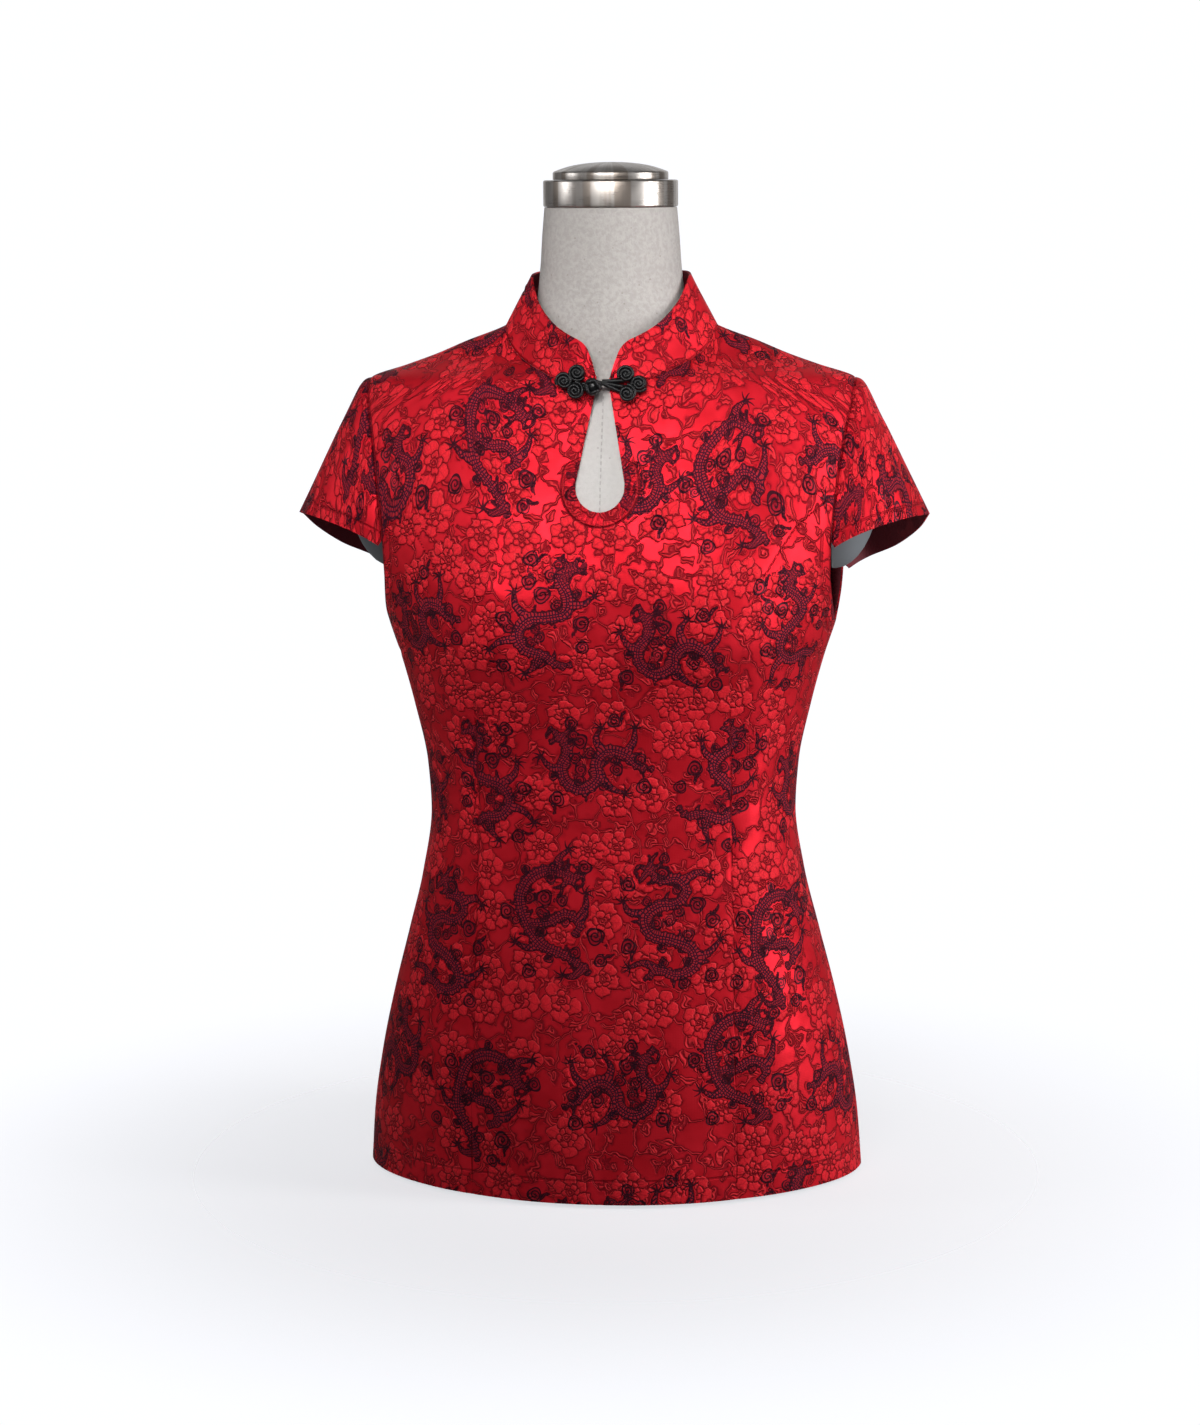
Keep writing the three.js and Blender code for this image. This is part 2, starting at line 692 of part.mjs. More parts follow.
// The loop's cord runs from the flower round the back of the button.
function buildLoop() {
  const y = clothY(8, 606, -1) - 4.6;
  const turns = 30;
  const ring = 8;
  const points = [];
  for (let i = 0; i < turns; i += 1) {
    const turn = (i / turns) * Math.PI * 2;
    const x = 1.9 - 10.6 * Math.cos(turn);
    const z = 605.8 + 3.1 * Math.sin(turn);
    const out = new THREE.Vector3(-Math.cos(turn) * 0.4, 0, Math.sin(turn)).normalize();
    for (let k = 0; k < ring; k += 1) {
      const a = (k / ring) * Math.PI * 2;
      const p = new THREE.Vector3(x, y, z).addScaledVector(out, loopCord * Math.cos(a));
      p.y += loopCord * Math.sin(a);
      points.push(p);
    }
  }
  const indexAt = (i, j) => (i % turns) * ring + (j % ring);
  const triangles = gridTriangles(turns, ring, indexAt, false);
  return meshOf('frog_loop', geometryOf({ points, triangles }), colours.cord, 0.8, 0);
}

// ---- the part ----
const part = new THREE.Group();
part.name = 'cheongsam_top';
part.add(buildPanel('front', -1));
part.add(buildPanel('back', 1));
part.add(buildSleeve('sleeve_left', 1));
part.add(buildSleeve('sleeve_right', -1));
part.add(buildCollar());
part.add(buildFlower('frog_flower_right', rightFlower));
part.add(buildFlower('frog_flower_left', leftFlower));
part.add(buildButton());
part.add(buildLoop());
part.add(buildForm());
part.add(buildCapRing());
part.add(buildCapTop());
part.add(buildArmPlate('arm_plate_left', 1));
part.add(buildArmPlate('arm_plate_right', -1));

export default part;
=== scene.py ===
import math
import bpy
import numpy as np
from mathutils import Matrix, Vector


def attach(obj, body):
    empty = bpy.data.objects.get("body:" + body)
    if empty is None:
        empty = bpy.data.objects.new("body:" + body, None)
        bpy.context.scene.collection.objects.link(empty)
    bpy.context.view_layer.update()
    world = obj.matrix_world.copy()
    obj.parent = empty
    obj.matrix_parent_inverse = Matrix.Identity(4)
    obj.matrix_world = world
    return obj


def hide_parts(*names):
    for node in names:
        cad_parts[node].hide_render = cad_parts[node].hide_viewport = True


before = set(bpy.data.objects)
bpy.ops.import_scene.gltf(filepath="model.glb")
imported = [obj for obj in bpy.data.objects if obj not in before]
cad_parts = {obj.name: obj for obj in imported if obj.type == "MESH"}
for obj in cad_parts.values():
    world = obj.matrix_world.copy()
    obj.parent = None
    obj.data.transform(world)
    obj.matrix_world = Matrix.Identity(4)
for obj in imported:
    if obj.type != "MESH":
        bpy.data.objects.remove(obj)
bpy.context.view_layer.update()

bpy.ops.object.select_all(action="DESELECT")
mm = 0.001

# Level sections of the cloth in mm: half width, depths in front of and behind the ridge of the seams,
# the place of that ridge, and how square the section is (2 is an ellipse).
clothSections = {
    "z": [0, 45, 93, 140, 188, 235, 282, 317, 363, 400, 425, 450,
          490, 526, 571, 595, 607, 617, 624.5, 635, 644, 650, 657],
    "half": [190.4, 187, 179.6, 169.4, 157, 145.4, 138.8, 141, 150.5, 160.5, 168.8, 176,
             186, 192, 192, 188, 182, 154, 133, 108, 84, 72, 62],
    "front": [121, 120, 117, 112, 106, 101, 97, 99, 106, 115, 120, 121,
              116, 107, 91, 81, 76, 60, 43, 31, 26, 25, 25],
    "back": [128, 127, 122, 115, 105, 96, 90, 90, 94, 98, 101, 104,
             106, 105, 98, 87, 78, 69, 63, 57, 54, 54, 54],
    "ridge": [0, 0, 0, 0, 0, 0, 0, 1, 2, 3, 4, 5, 5, 6, 8, 8, 8, 8, 8, 8, 8, 8, 8],
    "square": [1.88, 1.95, 2.05, 2.12, 2.2, 2.25, 2.3, 2.3, 2.3, 2.25, 2.25, 2.3,
               2.3, 2.3, 2.3, 2.1, 1.95, 1.85, 1.8, 1.85, 2, 2, 2],
}
# Half width at which each panel ends at the armhole.
armholeEdge = {"z": [425, 436, 450, 465, 490, 526, 571, 595, 607],
               "front": [168.8, 168, 166.6, 165.6, 166, 169, 175.4, 180.4, 182],
               "back": [168.8, 170.9, 172.8, 173.6, 172.4, 172.6, 176.6, 180.6, 182]}
# Seam of the collar from the middle outwards, on the front and on the back.
frontNeck = {"x": [4.5, 18, 35, 50.6, 66.4, 75.4], "z": [606.5, 607.4, 610.4, 616.6, 625.2, 635.4]}
backNeck = {"x": [0, 32, 56, 71], "z": [648.8, 648.4, 647.6, 646.8]}
# Top edge of the collar from its front end (0) to the centre back (1), on one side.
collarTop = {"at": [0, 0.1, 0.2, 0.3, 0.4, 0.5, 0.65, 0.8, 1],
             "x": [7.5, 17, 30, 44, 54.5, 59.8, 54, 35, 0],
             "y": [-62, -58.5, -51, -37, -18, 5, 35, 57, 66],
             "z": [636, 638, 643.5, 653.5, 667.5, 683, 685, 685, 684.4]}
# Hem of a cap sleeve from its front end (0) over the top to its back end (1).
sleeveHem = {"at": [0, 0.13, 0.27, 0.4, 0.5, 0.62, 0.76, 0.89, 1],
             "x": [168.6, 184, 206, 228, 238.4, 233, 215, 192, 176.6],
             "y": [-60, -57, -46, -24, 4, 30, 52, 61, 52],
             "z": [487, 495, 502.5, 506.5, 505.4, 494, 477, 466, 459]}
# How far the form lies inside the cloth, where its arm stumps are cut, and sections of its neck.
formEase = {"z": [0, 12, 45, 140, 282, 363, 425, 500, 590, 607, 632, 644, 657],
            "side": [34, 22, 15, 9, 7.5, 6, 5.5, 4, 3, 3, 5.4, 7, 4.6],
            "front": [30, 18, 11, 7.5, 7, 5, 3.2, 2.8, 5, 5.6, 4.8, 4.8, 3.4],
            "back": [32, 19, 13, 8, 7, 5.5, 4, 3.2, 3.2, 3.6, 5.4, 6, 5]}
armCut = {"z": [425, 440, 455, 468, 482, 607, 620], "half": [190, 163, 162, 163, 165, 165, 190]}
neckSections = {"z": [575, 607, 622, 640, 657, 672, 691, 712, 733],
                "half": [44, 54, 57, 58, 57, 54.6, 52.6, 51.2, 49.4],
                "front": [36, 57, 58, 56, 54, 52, 50.6, 49.6, 48],
                "back": [34, 46, 47, 47, 47, 46.5, 47, 47.5, 48],
                "ridge": [8, 8, 8, 8, 8, 7.5, 7, 7, 7]}

# Levels and sizes of the top in mm.
garment = {"wall": 1.4, "collarWall": 1.8, "seamGap": 0.1, "hem": 3, "underarm": 425, "tip": 607,
           "neckPoint": 646, "neckGap": 4.5, "neckFront": 606.5,
           "bustLevel": 432, "bustApart": 90, "bustRise": 16,
           "bustWide": 50, "bustAbove": 74, "bustBelow": 52,
           "keyhole": 535, "keyholeHalf": 17.9, "keyholeDrop": 18.4}
# Shares of the run up the centre edge: to the foot of the keyhole, then of the rest for its round foot,
# which goes on past the quarter round by a small angle in radians.
keyholeRun = {"foot": 0.42, "round": 0.45, "past": 0.14}
# How far the stitch lines lie from their edges, in mm.
stitchIn = {"hem": 18, "keyhole": 10.5, "armhole": 6.5, "sleeve": 9, "collar": 7.5}
farAway = 60.0  # for a line or an edge that a piece doesn't have


def curveOf(table, key, column):  # a smooth curve that doesn't overshoot the table's values
    xs, ys = np.array(table[key], float), np.array(table[column], float)
    slopes = np.diff(ys) / np.diff(xs)
    before, after = np.r_[slopes[0], slopes], np.r_[slopes, slopes[-1]]
    product = before * after
    tangent = np.where(product <= 0, 0, 2 * product / np.where(product <= 0, 1, before + after))

    def at(value):
        value = np.asarray(value, float)
        k = np.clip(np.searchsorted(xs, value) - 1, 0, len(xs) - 2)
        span = xs[k + 1] - xs[k]
        f = np.clip((value - xs[k]) / span, 0, 1)
        rise = f * f * (3 - 2 * f)
        bend = f * (1 - f) * (1 - f) * tangent[k] * span + f * f * (f - 1) * tangent[k + 1] * span
        return ys[k] * (1 - rise) + ys[k + 1] * rise + bend
    return at


section = {column: curveOf(clothSections, "z", column) for column in clothSections if column != "z"}
neckHalf = float(section["half"](garment["neckPoint"]))


def toNeckPoint(edge):  # a neck edge that goes on to the neck point
    return {"at": list(range(len(edge["x"]) + 1)), "x": edge["x"] + [neckHalf],
            "z": edge["z"] + [garment["neckPoint"]]}


frontNeckPath, backNeckPath = toNeckPoint(frontNeck), toNeckPoint(backNeck)


def roundedDepth(x, half, power):
    return (1 - np.clip(np.abs(x) / half, 0, 1) ** power) ** (1 / power)


def bustAt(x, z):
    across = (np.abs(x) - garment["bustApart"]) / garment["bustWide"]
    above = z > garment["bustLevel"]
    up = (z - garment["bustLevel"]) / np.where(above, garment["bustAbove"], garment["bustBelow"])
    return garment["bustRise"] * np.exp(-across ** 2 - up ** 2)


def clothY(x, z, side):  # side -1 is the front, 1 the back
    depth = section["front" if side < 0 else "back"](z)
    rounded = roundedDepth(x, section["half"](z), section["square"](z))
    bust = bustAt(x, z) * np.minimum(1, rounded * 2) if side < 0 else 0
    return section["ridge"](z) + side * (depth * rounded + bust)


def neckEdge(f, side):
    path = frontNeckPath if side < 0 else backNeckPath
    at = np.asarray(f) * (len(path["at"]) - 1)
    return curveOf(path, "at", "x")(at), curveOf(path, "at", "z")(at)


def topEdge(u, side):  # neckline for the inner half of u, shoulder seam for the outer half
    neckX, neckZ = neckEdge(np.clip(u * 2, 0, 1), side)
    seamZ = garment["neckPoint"] + (garment["tip"] - garment["neckPoint"]) * np.clip(u * 2 - 1, 0, 1)
    return np.where(u <= 0.5, neckX, section["half"](seamZ)), np.where(u <= 0.5, neckZ, seamZ)


def armEdge(v, side):
    z = garment["underarm"] + (garment["tip"] - garment["underarm"]) * v
    return curveOf(armholeEdge, "z", "front" if side < 0 else "back")(z), z


def centreEdge(v, side):  # up the middle and, in front, round one side of the keyhole
    start = garment["underarm"]
    if side > 0:
        return 0 * v, start + (backNeck["z"][0] - start) * v
    half, drop, middle = garment["keyholeHalf"], garment["keyholeDrop"], garment["keyhole"]
    foot, rounded, past = keyholeRun["foot"], keyholeRun["round"], keyholeRun["past"]
    g = np.clip((v - foot) / (1 - foot), 0, 1)
    turn = np.clip(g / rounded, 0, 1) * (math.pi / 2 + past)
    endX, endZ = half * math.cos(past), middle + drop * math.sin(past)
    h = np.clip((g - rounded) / (1 - rounded), 0, 1)
    x = np.where(g < rounded, half * np.sin(turn), endX + (garment["neckGap"] - endX) * h)
    z = np.where(g < rounded, middle - drop * np.cos(turn), endZ + (garment["neckFront"] - endZ) * h)
    below = v <= foot
    return np.where(below, 0, x), np.where(below, start + (middle - drop - start) * v / foot, z)


def lowerGrid(u, level):
    x = section["half"](level) * np.sin(u * math.pi / 2) ** (2 / section["square"](level))
    return x, level


def upperGrid(u, v, side):
    startX, startZ = lowerGrid(u, np.full_like(u, garment["underarm"]))
    endX, endZ = topEdge(u, side)
    leftX, leftZ = centreEdge(v, side)
    rightX, rightZ = armEdge(v, side)
    wide = float(section["half"](garment["underarm"]))
    high = topEdge(np.array([0.0, 1.0]), side)

    def mix(start, end, left, right, lowLeft, lowRight, highLeft, highRight):
        low = lowLeft * (1 - u) + lowRight * u
        up = highLeft * (1 - u) + highRight * u
        return left * (1 - u) + right * u + start * (1 - v) + end * v - low * (1 - v) - up * v
    x = mix(startX, endX, leftX, rightX, 0, wide, high[0][0], high[0][1])
    z = mix(startZ, endZ, leftZ, rightZ, garment["underarm"], garment["underarm"], high[1][0], high[1][1])
    return x, z


# Cloth shells: every cloth piece is made by clothShell from a grid of places.
def pointNormals(points, quads):
    normals = np.zeros_like(points)
    a, b, c, d = (points[quads[:, i]] for i in range(4))
    face = np.cross(c - a, d - b)
    for i in range(4):
        np.add.at(normals, quads[:, i], face)
    return normals / np.maximum(np.linalg.norm(normals, axis=1), 1e-9)[:, None]


def openEdges(quads, count):
    edges = np.concatenate([quads[:, [i, (i + 1) % 4]] for i in range(4)]).astype(np.int64)
    keys, back = edges[:, 0] * count + edges[:, 1], edges[:, 1] * count + edges[:, 0]
    return edges[~np.isin(keys, back)]


def clothShell(name, points, quads, coarse, wall, flatCut, fields, seamPoints=None):
    # The fine outer side, a coarser wrong side and the cut edge between them, as one closed wall.
    count = len(points)
    normals = pointNormals(points, quads)
    if seamPoints is not None:
        normals[seamPoints, 1] = 0
        normals /= np.linalg.norm(normals, axis=1)[:, None]
    used = np.unique(coarse)
    innerOf = np.full(count, -1)
    innerOf[used] = count + np.arange(len(used))
    every = np.concatenate([points, points[used] - normals[used] * wall])
    faces = [tuple(q) for q in quads.tolist()]
    outerCount = len(faces)
    faces += [tuple(q[::-1]) for q in innerOf[coarse].tolist()]
    innerCount = len(faces)
    following = dict(openEdges(quads, count).tolist())
    for p, b in following.items():
        if innerOf[p] < 0:
            continue
        c = following[b]
        faces += [(b, p, innerOf[p]), (b, innerOf[p], innerOf[c]), (c, b, innerOf[c])]
    mesh = bpy.data.meshes.new(name)
    mesh.from_pydata((every * mm).tolist(), [], [tuple(int(i) for i in f) for f in faces])
    side = np.zeros(len(faces), int)
    side[outerCount:innerCount] = 1
    mesh.polygons.foreach_set("material_index", side.astype(np.int32))
    source = np.concatenate([np.arange(count), used])
    corner = np.zeros(len(mesh.loops), np.int32)
    mesh.loops.foreach_get("vertex_index", corner)
    cut = mesh.uv_layers.new(name="cut")
    cut.data.foreach_set("uv", (flatCut[source[corner]] * mm).astype(np.float32).ravel())
    for key, values in fields.items():
        values = np.asarray(values)[source].astype(np.float32)
        if values.ndim == 2:
            mesh.attributes.new(key, "FLOAT_VECTOR", "POINT").data.foreach_set("vector", values.ravel())
        else:
            mesh.attributes.new(key, "FLOAT", "POINT").data.foreach_set("value", values)
    mesh.update()
    piece = bpy.data.objects.new(name, mesh)
    bpy.context.scene.collection.objects.link(piece)
    mesh.polygons.foreach_set("use_smooth", [True] * len(mesh.polygons))
    mesh.set_sharp_from_angle(angle=math.radians(50))
    outer = points[quads]
    area = np.linalg.norm(np.cross(outer[:, 2] - outer[:, 0], outer[:, 3] - outer[:, 1]), axis=1).sum() / 2
    return piece, area * mm * mm


def gridQuads(index, step, flip):
    i = index[::step, ::step]
    quads = np.stack([i[:-1, :-1], i[:-1, 1:], i[1:, 1:], i[1:, :-1]], -1).reshape(-1, 4)
    return quads[:, ::-1] if flip else quads


def runningLength(points, axis):  # along the rows (axis 1) or up the columns (axis 0) of a grid
    steps = np.linalg.norm(np.diff(points, axis=axis), axis=2)
    first = np.zeros_like(steps[:, :1] if axis else steps[:1])
    return np.concatenate([first, np.cumsum(steps, axis=axis)], axis)


def smoothRise(value, low, high):
    t = np.clip((value - low) / (high - low), 0, 1)
    return t * t * (3 - 2 * t)


# Dragons of the brocade, drawn as brush strokes in mm round their own middle.
# A spine and its legs are places (a spine's with a half width), a head is a place, a size and the
# place of its jaw, and a curl is the middle and radius of a cloud scroll.
dragons = {
    "rising": {
        "spines": [[(24, 36, 4), (10, 46, 5.5), (-10, 44, 6.5), (-24, 30, 6.5), (-26, 8, 6), (-20, -14, 6),
                    (-6, -28, 5), (4, -40, 3.5), (10, -52, 2)],
                   [(-22, 6, 5), (-6, 2, 5), (10, 4, 5), (20, -8, 4.5), (12, -16, 3.5)]],
        "legs": [[(20, -6), (30, 4), (34, 14)], [(-22, -14), (-34, -12), (-42, -4)],
                 [(8, -46), (-4, -50), (-12, -46)], [(16, 44), (24, 52), (34, 56)]],
        "heads": [(26, 32, 6, 33, 27)],
        "curls": [(-2, 24, 7), (12, 16, 5), (-10, 13, 4.5), (28, -24, 7.5), (-40, 24, 6.5), (42, 36, 6),
                  (-40, -32, 6), (24, -46, 5.5)]},
    "diving": {
        "spines": [[(-14, 48, 2.5), (-4, 40, 5), (-16, 26, 6.5), (-18, 12, 7), (-4, 4, 6.5), (12, -2, 6.5),
                    (18, -16, 6), (8, -28, 6), (-10, -30, 5), (-24, -36, 3.5), (-34, -32, 2)]],
        "legs": [[(16, -20), (30, -26), (38, -36)], [(-18, 20), (-30, 22), (-38, 32)],
                 [(14, 0), (26, 8), (30, 18)], [(-8, -30), (-4, -42), (2, -50)]],
        "heads": [(-12, 50, 5.5, -20, 54)],
        "curls": [(6, 22, 7), (20, 30, 6), (33, -6, 6.5), (-34, 6, 6.5), (-2, -14, 4.5), (24, 50, 6.5),
                  (-40, -14, 5.5), (22, -48, 6)]},
    "winding": {
        "spines": [[(-30, 46, 2.5), (-18, 40, 4), (-4, 44, 5.5), (6, 34, 5), (-2, 22, 5.5), (-16, 18, 6.5),
                    (-26, 6, 7), (-18, -8, 7), (0, -10, 6.5), (18, -14, 6.5), (26, -28, 6), (12, -40, 5.5),
                    (-6, -38, 4), (-16, -48, 2.5)]],
        "legs": [[(26, -24), (38, -14), (44, -4)], [(-24, 10), (-40, 8), (-48, 16)],
                 [(-6, -38), (-20, -34), (-32, -40)], [(2, 44), (14, 52), (24, 50)]],
        "heads": [(-30, 48, 5, -37, 44)],
        "curls": [(18, 24, 7), (34, 12, 6.5), (-4, 6, 4.5), (-36, -22, 6.5), (42, -36, 6), (-46, 32, 6)]},
    "coiled": {
        "spines": [[(-42, -14, 2), (-30, -8, 4), (-22, 4, 6), (-8, 10, 6.5), (4, 2, 6.5), (6, -12, 6.5),
                    (20, -20, 6.5), (34, -12, 6), (36, 4, 5.5), (26, 16, 4.5), (30, 28, 3)]],
        "legs": [[(-22, 4), (-32, 14), (-36, 26)], [(4, -12), (-4, -24), (-14, -30)],
                 [(36, 0), (46, 6), (52, 16)], [(-4, 10), (0, 22), (-6, 32)]],
        "heads": [(30, 30, 5, 38, 34)],
        "curls": [(14, 24, 6.5), (-12, -8, 5.5), (19, -2, 5), (46, -24, 6.5), (-32, -28, 6.5), (-20, 36, 6),
                  (18, 42, 5.5)]},
}
# The repeat in mm: the steps across and up, where rows start, how far a dragon strays from its place and
# leans in radians, how far its parts reach, and the value that stands for far away from any.
dragonRepeat = {"across": 93, "up": 115, "evenStart": 7, "oddStart": -41, "first": 88, "shrink": 1.2,
                "rows": (-2, 9), "places": (-6, 7), "stray": (8, 15), "lean": 0.4, "reach": 64, "far": 9.0}


def throughPoints(points, spacing):  # a smooth line through the points, as dots with a radius
    rows = np.array(points, float)
    rows = np.concatenate([2 * rows[:1] - rows[1:2], rows, 2 * rows[-1:] - rows[-2:-1]])
    dots = []
    for a, b, c, d in zip(rows, rows[1:], rows[2:], rows[3:]):
        count = max(2, int(np.linalg.norm(c[:2] - b[:2]) / spacing))
        t = (np.arange(count) / count)[:, None]
        dots.append(0.5 * (2 * b + (c - a) * t + (2 * a - 5 * b + 4 * c - d) * t * t
                           + (3 * b - a - 3 * c + d) * t ** 3))
    return np.concatenate(dots + [rows[-2:-1]])


def fringedSpine(points):
    # A body with scalloped sides and a tuft of mane on the outside every few steps, and its middle line
    # as rows of place, half width, run and direction.
    dots = throughPoints([(x, y, w * 0.76) for x, y, w in points], 3.0)
    ahead = np.gradient(dots[:, :2], axis=0)
    steps = np.linalg.norm(ahead, axis=1)
    ahead /= steps[:, None]
    across = np.stack([-ahead[:, 1], ahead[:, 0]], 1)
    made = [dots]
    for side in (-1, 1):
        edge = dots[::2, :2] + across[::2] * side * (dots[::2, 2:] * 0.86)
        made.append(np.concatenate([edge, np.full((len(edge), 1), 2.0)], 1))
    bend = np.linspace(0.2, 1, 5)[:, None]
    for k in range(3, len(dots) - 2, 4):
        side = 1 if (k // 4) % 2 else -1
        tip = across[k] * side * (dots[k, 2] + 5.5) - ahead[k] * 6.0
        place = dots[k, :2] + tip * bend + across[k] * side * 3 * bend * (1 - bend)
        made.append(np.concatenate([place, 2.0 - 1.0 * bend], 1))
    run = np.cumsum(steps)
    return made, np.column_stack([dots, run, ahead])


def strand(x, y, heading, length, bow, start, end):  # a tapered hair, horn or jaw, as dots
    t = np.linspace(0, 1, max(4, int(length / 1.2)))
    turn, run = heading + bow * t, length * t
    return np.stack([x + run * np.cos(turn), y + run * np.sin(turn), start + (end - start) * t], 1)


def dragonParts(shape):
    # Every dot of the solid parts, the middle lines, the paws with their heading and the cloud scrolls.
    dots, middles, paws, scrolls = [], [], [], []
    for spine in shape["spines"]:
        made, middle = fringedSpine(spine)
        dots += made
        middles.append(middle)
        for k in range(4, len(middle) - 3, 6):  # scrolls that grow out of the body
            side = (-1) ** (k // 6)
            out = np.array([-middle[k, 5], middle[k, 4]]) * side * (middle[k, 2] + 3.4)
            scrolls.append((*(middle[k, :2] + out), 4.3 + 0.9 * (k % 4 == 0), k))
    for leg in shape["legs"]:
        widths = np.linspace(4.2, 1.4, len(leg))
        dots.append(throughPoints([(x, y, w) for (x, y), w in zip(leg, widths)], 1.6))
        (x0, y0), (x1, y1) = leg[-2:]
        paws.append((x1, y1, math.atan2(y1 - y0, x1 - x0)))
    for x, y, r, jawX, jawY in shape["heads"]:
        ahead = math.atan2(jawY - y, jawX - x)
        dots.append(np.array([(x, y, r * 0.95)]))
        dots.append(strand(x, y, ahead + 0.34, r + 8, 0.22, 3.2, 1.6))
        dots.append(strand(x, y, ahead - 0.5, r + 6, -0.3, 2.6, 1.2))
        for k in range(6):  # mane and horns
            heading = ahead + math.pi + (k - 2.5) * 0.52
            dots.append(strand(x, y, heading, r + 8 + 3 * (k % 2), 0.5 * (-1) ** k, 2.3, 1.0))
        for k in (-1, 1):  # whiskers that curl
            root = x + 12 * math.cos(ahead), y + 12 * math.sin(ahead)
            dots.append(strand(*root, ahead + k * 0.9, 9, k * 1.6, 1.3, 1.0))
        scrolls.append((x - 13 * math.cos(ahead), y - 13 * math.sin(ahead) + 6, 4.6, 1.0))
    for k, (x, y, r) in enumerate(shape["curls"]):
        first = k * 1.9
        scrolls.append((x, y, r, first))
        if k % 2:  # every second scroll trails a tail
            root = x + r * math.cos(first), y + r * math.sin(first)
            dots.append(strand(*root, first - 1.7, 9, 0.7, 1.5, 1.0))
    return np.concatenate(dots), np.concatenate(middles), np.array(paws), np.array(scrolls)


dragonShapes = {name: dragonParts(shape) for name, shape in dragons.items()}


def dragonAt(row, place):  # which dragon stands in a place of the repeat, and if it is turned over
    if row % 2 == 0:
        if place % 2 == 0:
            return "coiled", row % 4 == 2
        return ("rising" if row % 4 == 0 else "diving"), False
    if place % 2 == 0:
        return ("rising" if row % 4 == 1 else "diving"), row % 4 == 3
    return ("winding", False) if row % 4 == 1 else ("coiled", True)


def nearestRow(local, rows, radius):  # the nearest of some rows, and how far outside its radius a point is
    gap = np.linalg.norm(local[:, None] - rows[None, :, :2], axis=2) - radius
    pick = gap.argmin(axis=1)
    return pick, gap[np.arange(len(local)), pick]


def turnedBy(offset, heading):  # an offset as seen along a heading
    return np.stack([offset[:, 0] * np.cos(heading) + offset[:, 1] * np.sin(heading),
                     offset[:, 1] * np.cos(heading) - offset[:, 0] * np.sin(heading)], 1)


def motifFields(flat):
    # For each point of the cut: how far it is outside the nearest dragon (negative within one), its run
    # along and share across that body, and its place within the nearest cloud scroll and paw.
    repeat = dragonRepeat
    far = np.full((len(flat), 3), repeat["far"])
    found = {"motif": far[:, 0].copy(), "scales": far * 0, "scroll": far.copy(), "paw": far.copy()}
    for row in range(*repeat["rows"]):
        level = repeat["first"] + repeat["up"] * row
        start = repeat["evenStart"] if row % 2 == 0 else repeat["oddStart"]
        for place in range(*repeat["places"]):
            aside = repeat["stray"][0] * math.sin(row * 2.1 + place)
            above = repeat["stray"][1] * math.sin(place * 1.9 + row * 0.8)
            middle = np.array([start + repeat["across"] * place + aside, level + above])
            near = np.nonzero((np.abs(flat - middle) < repeat["reach"]).all(axis=1))[0]
            if not len(near):
                continue
            kind, mirrored = dragonAt(row, place)
            dots, middles, paws, scrolls = dragonShapes[kind]
            lean = repeat["lean"] * math.sin(place * 2.3 + row * 1.3)
            turning = np.array([[math.cos(lean), -math.sin(lean)], [math.sin(lean), math.cos(lean)]])
            local = (flat[near] - middle) @ turning * repeat["shrink"]
            if mirrored:
                local = local * np.array([-1, 1])
            gap = np.min([nearestRow(local, part, part[:, 2])[1] for part in np.array_split(dots, 12)], 0)
            nearer = gap < found["motif"][near]
            pick, _ = nearestRow(local, middles, middles[:, 2])
            body = turnedBy(local - middles[pick, :2], np.arctan2(middles[pick, 5], middles[pick, 4]))
            body = np.stack([body[:, 0] + middles[pick, 3], body[:, 1] / middles[pick, 2], 0 * gap], 1)
            found["scales"][near[nearer]] = body[nearer]
            found["motif"][near[nearer]] = gap[nearer]
            for key, rows, size, heading in (("scroll", scrolls, scrolls[:, 2], scrolls[:, 3]),
                                             ("paw", paws, 9.0, paws[:, 2])):
                pick, gap = nearestRow(local, rows, size)
                inside = turnedBy(local - rows[pick, :2], heading[pick])
                if key == "scroll":
                    inside /= size[pick][:, None]
                nearer = gap < found[key][near, 2]
                found[key][near[nearer]] = np.column_stack([inside, gap])[nearer]
    return found


# Creases: troughs and ridges along short bowed lines.
def creaseField(x, z, creases):
    total = np.zeros_like(x)
    for x0, z0, x1, z1, bow, width, depth in creases:
        run = np.array([x1 - x0, z1 - z0])
        length = np.hypot(*run)
        t = ((x - x0) * run[0] + (z - z0) * run[1]) / length ** 2
        off = ((x - x0) * -run[1] + (z - z0) * run[0]) / length - bow * 4 * t * (1 - t)
        total += depth * np.exp(-(off / width) ** 2) * np.exp(-(np.abs(t - 0.5) * 2.1) ** 4)
    return total


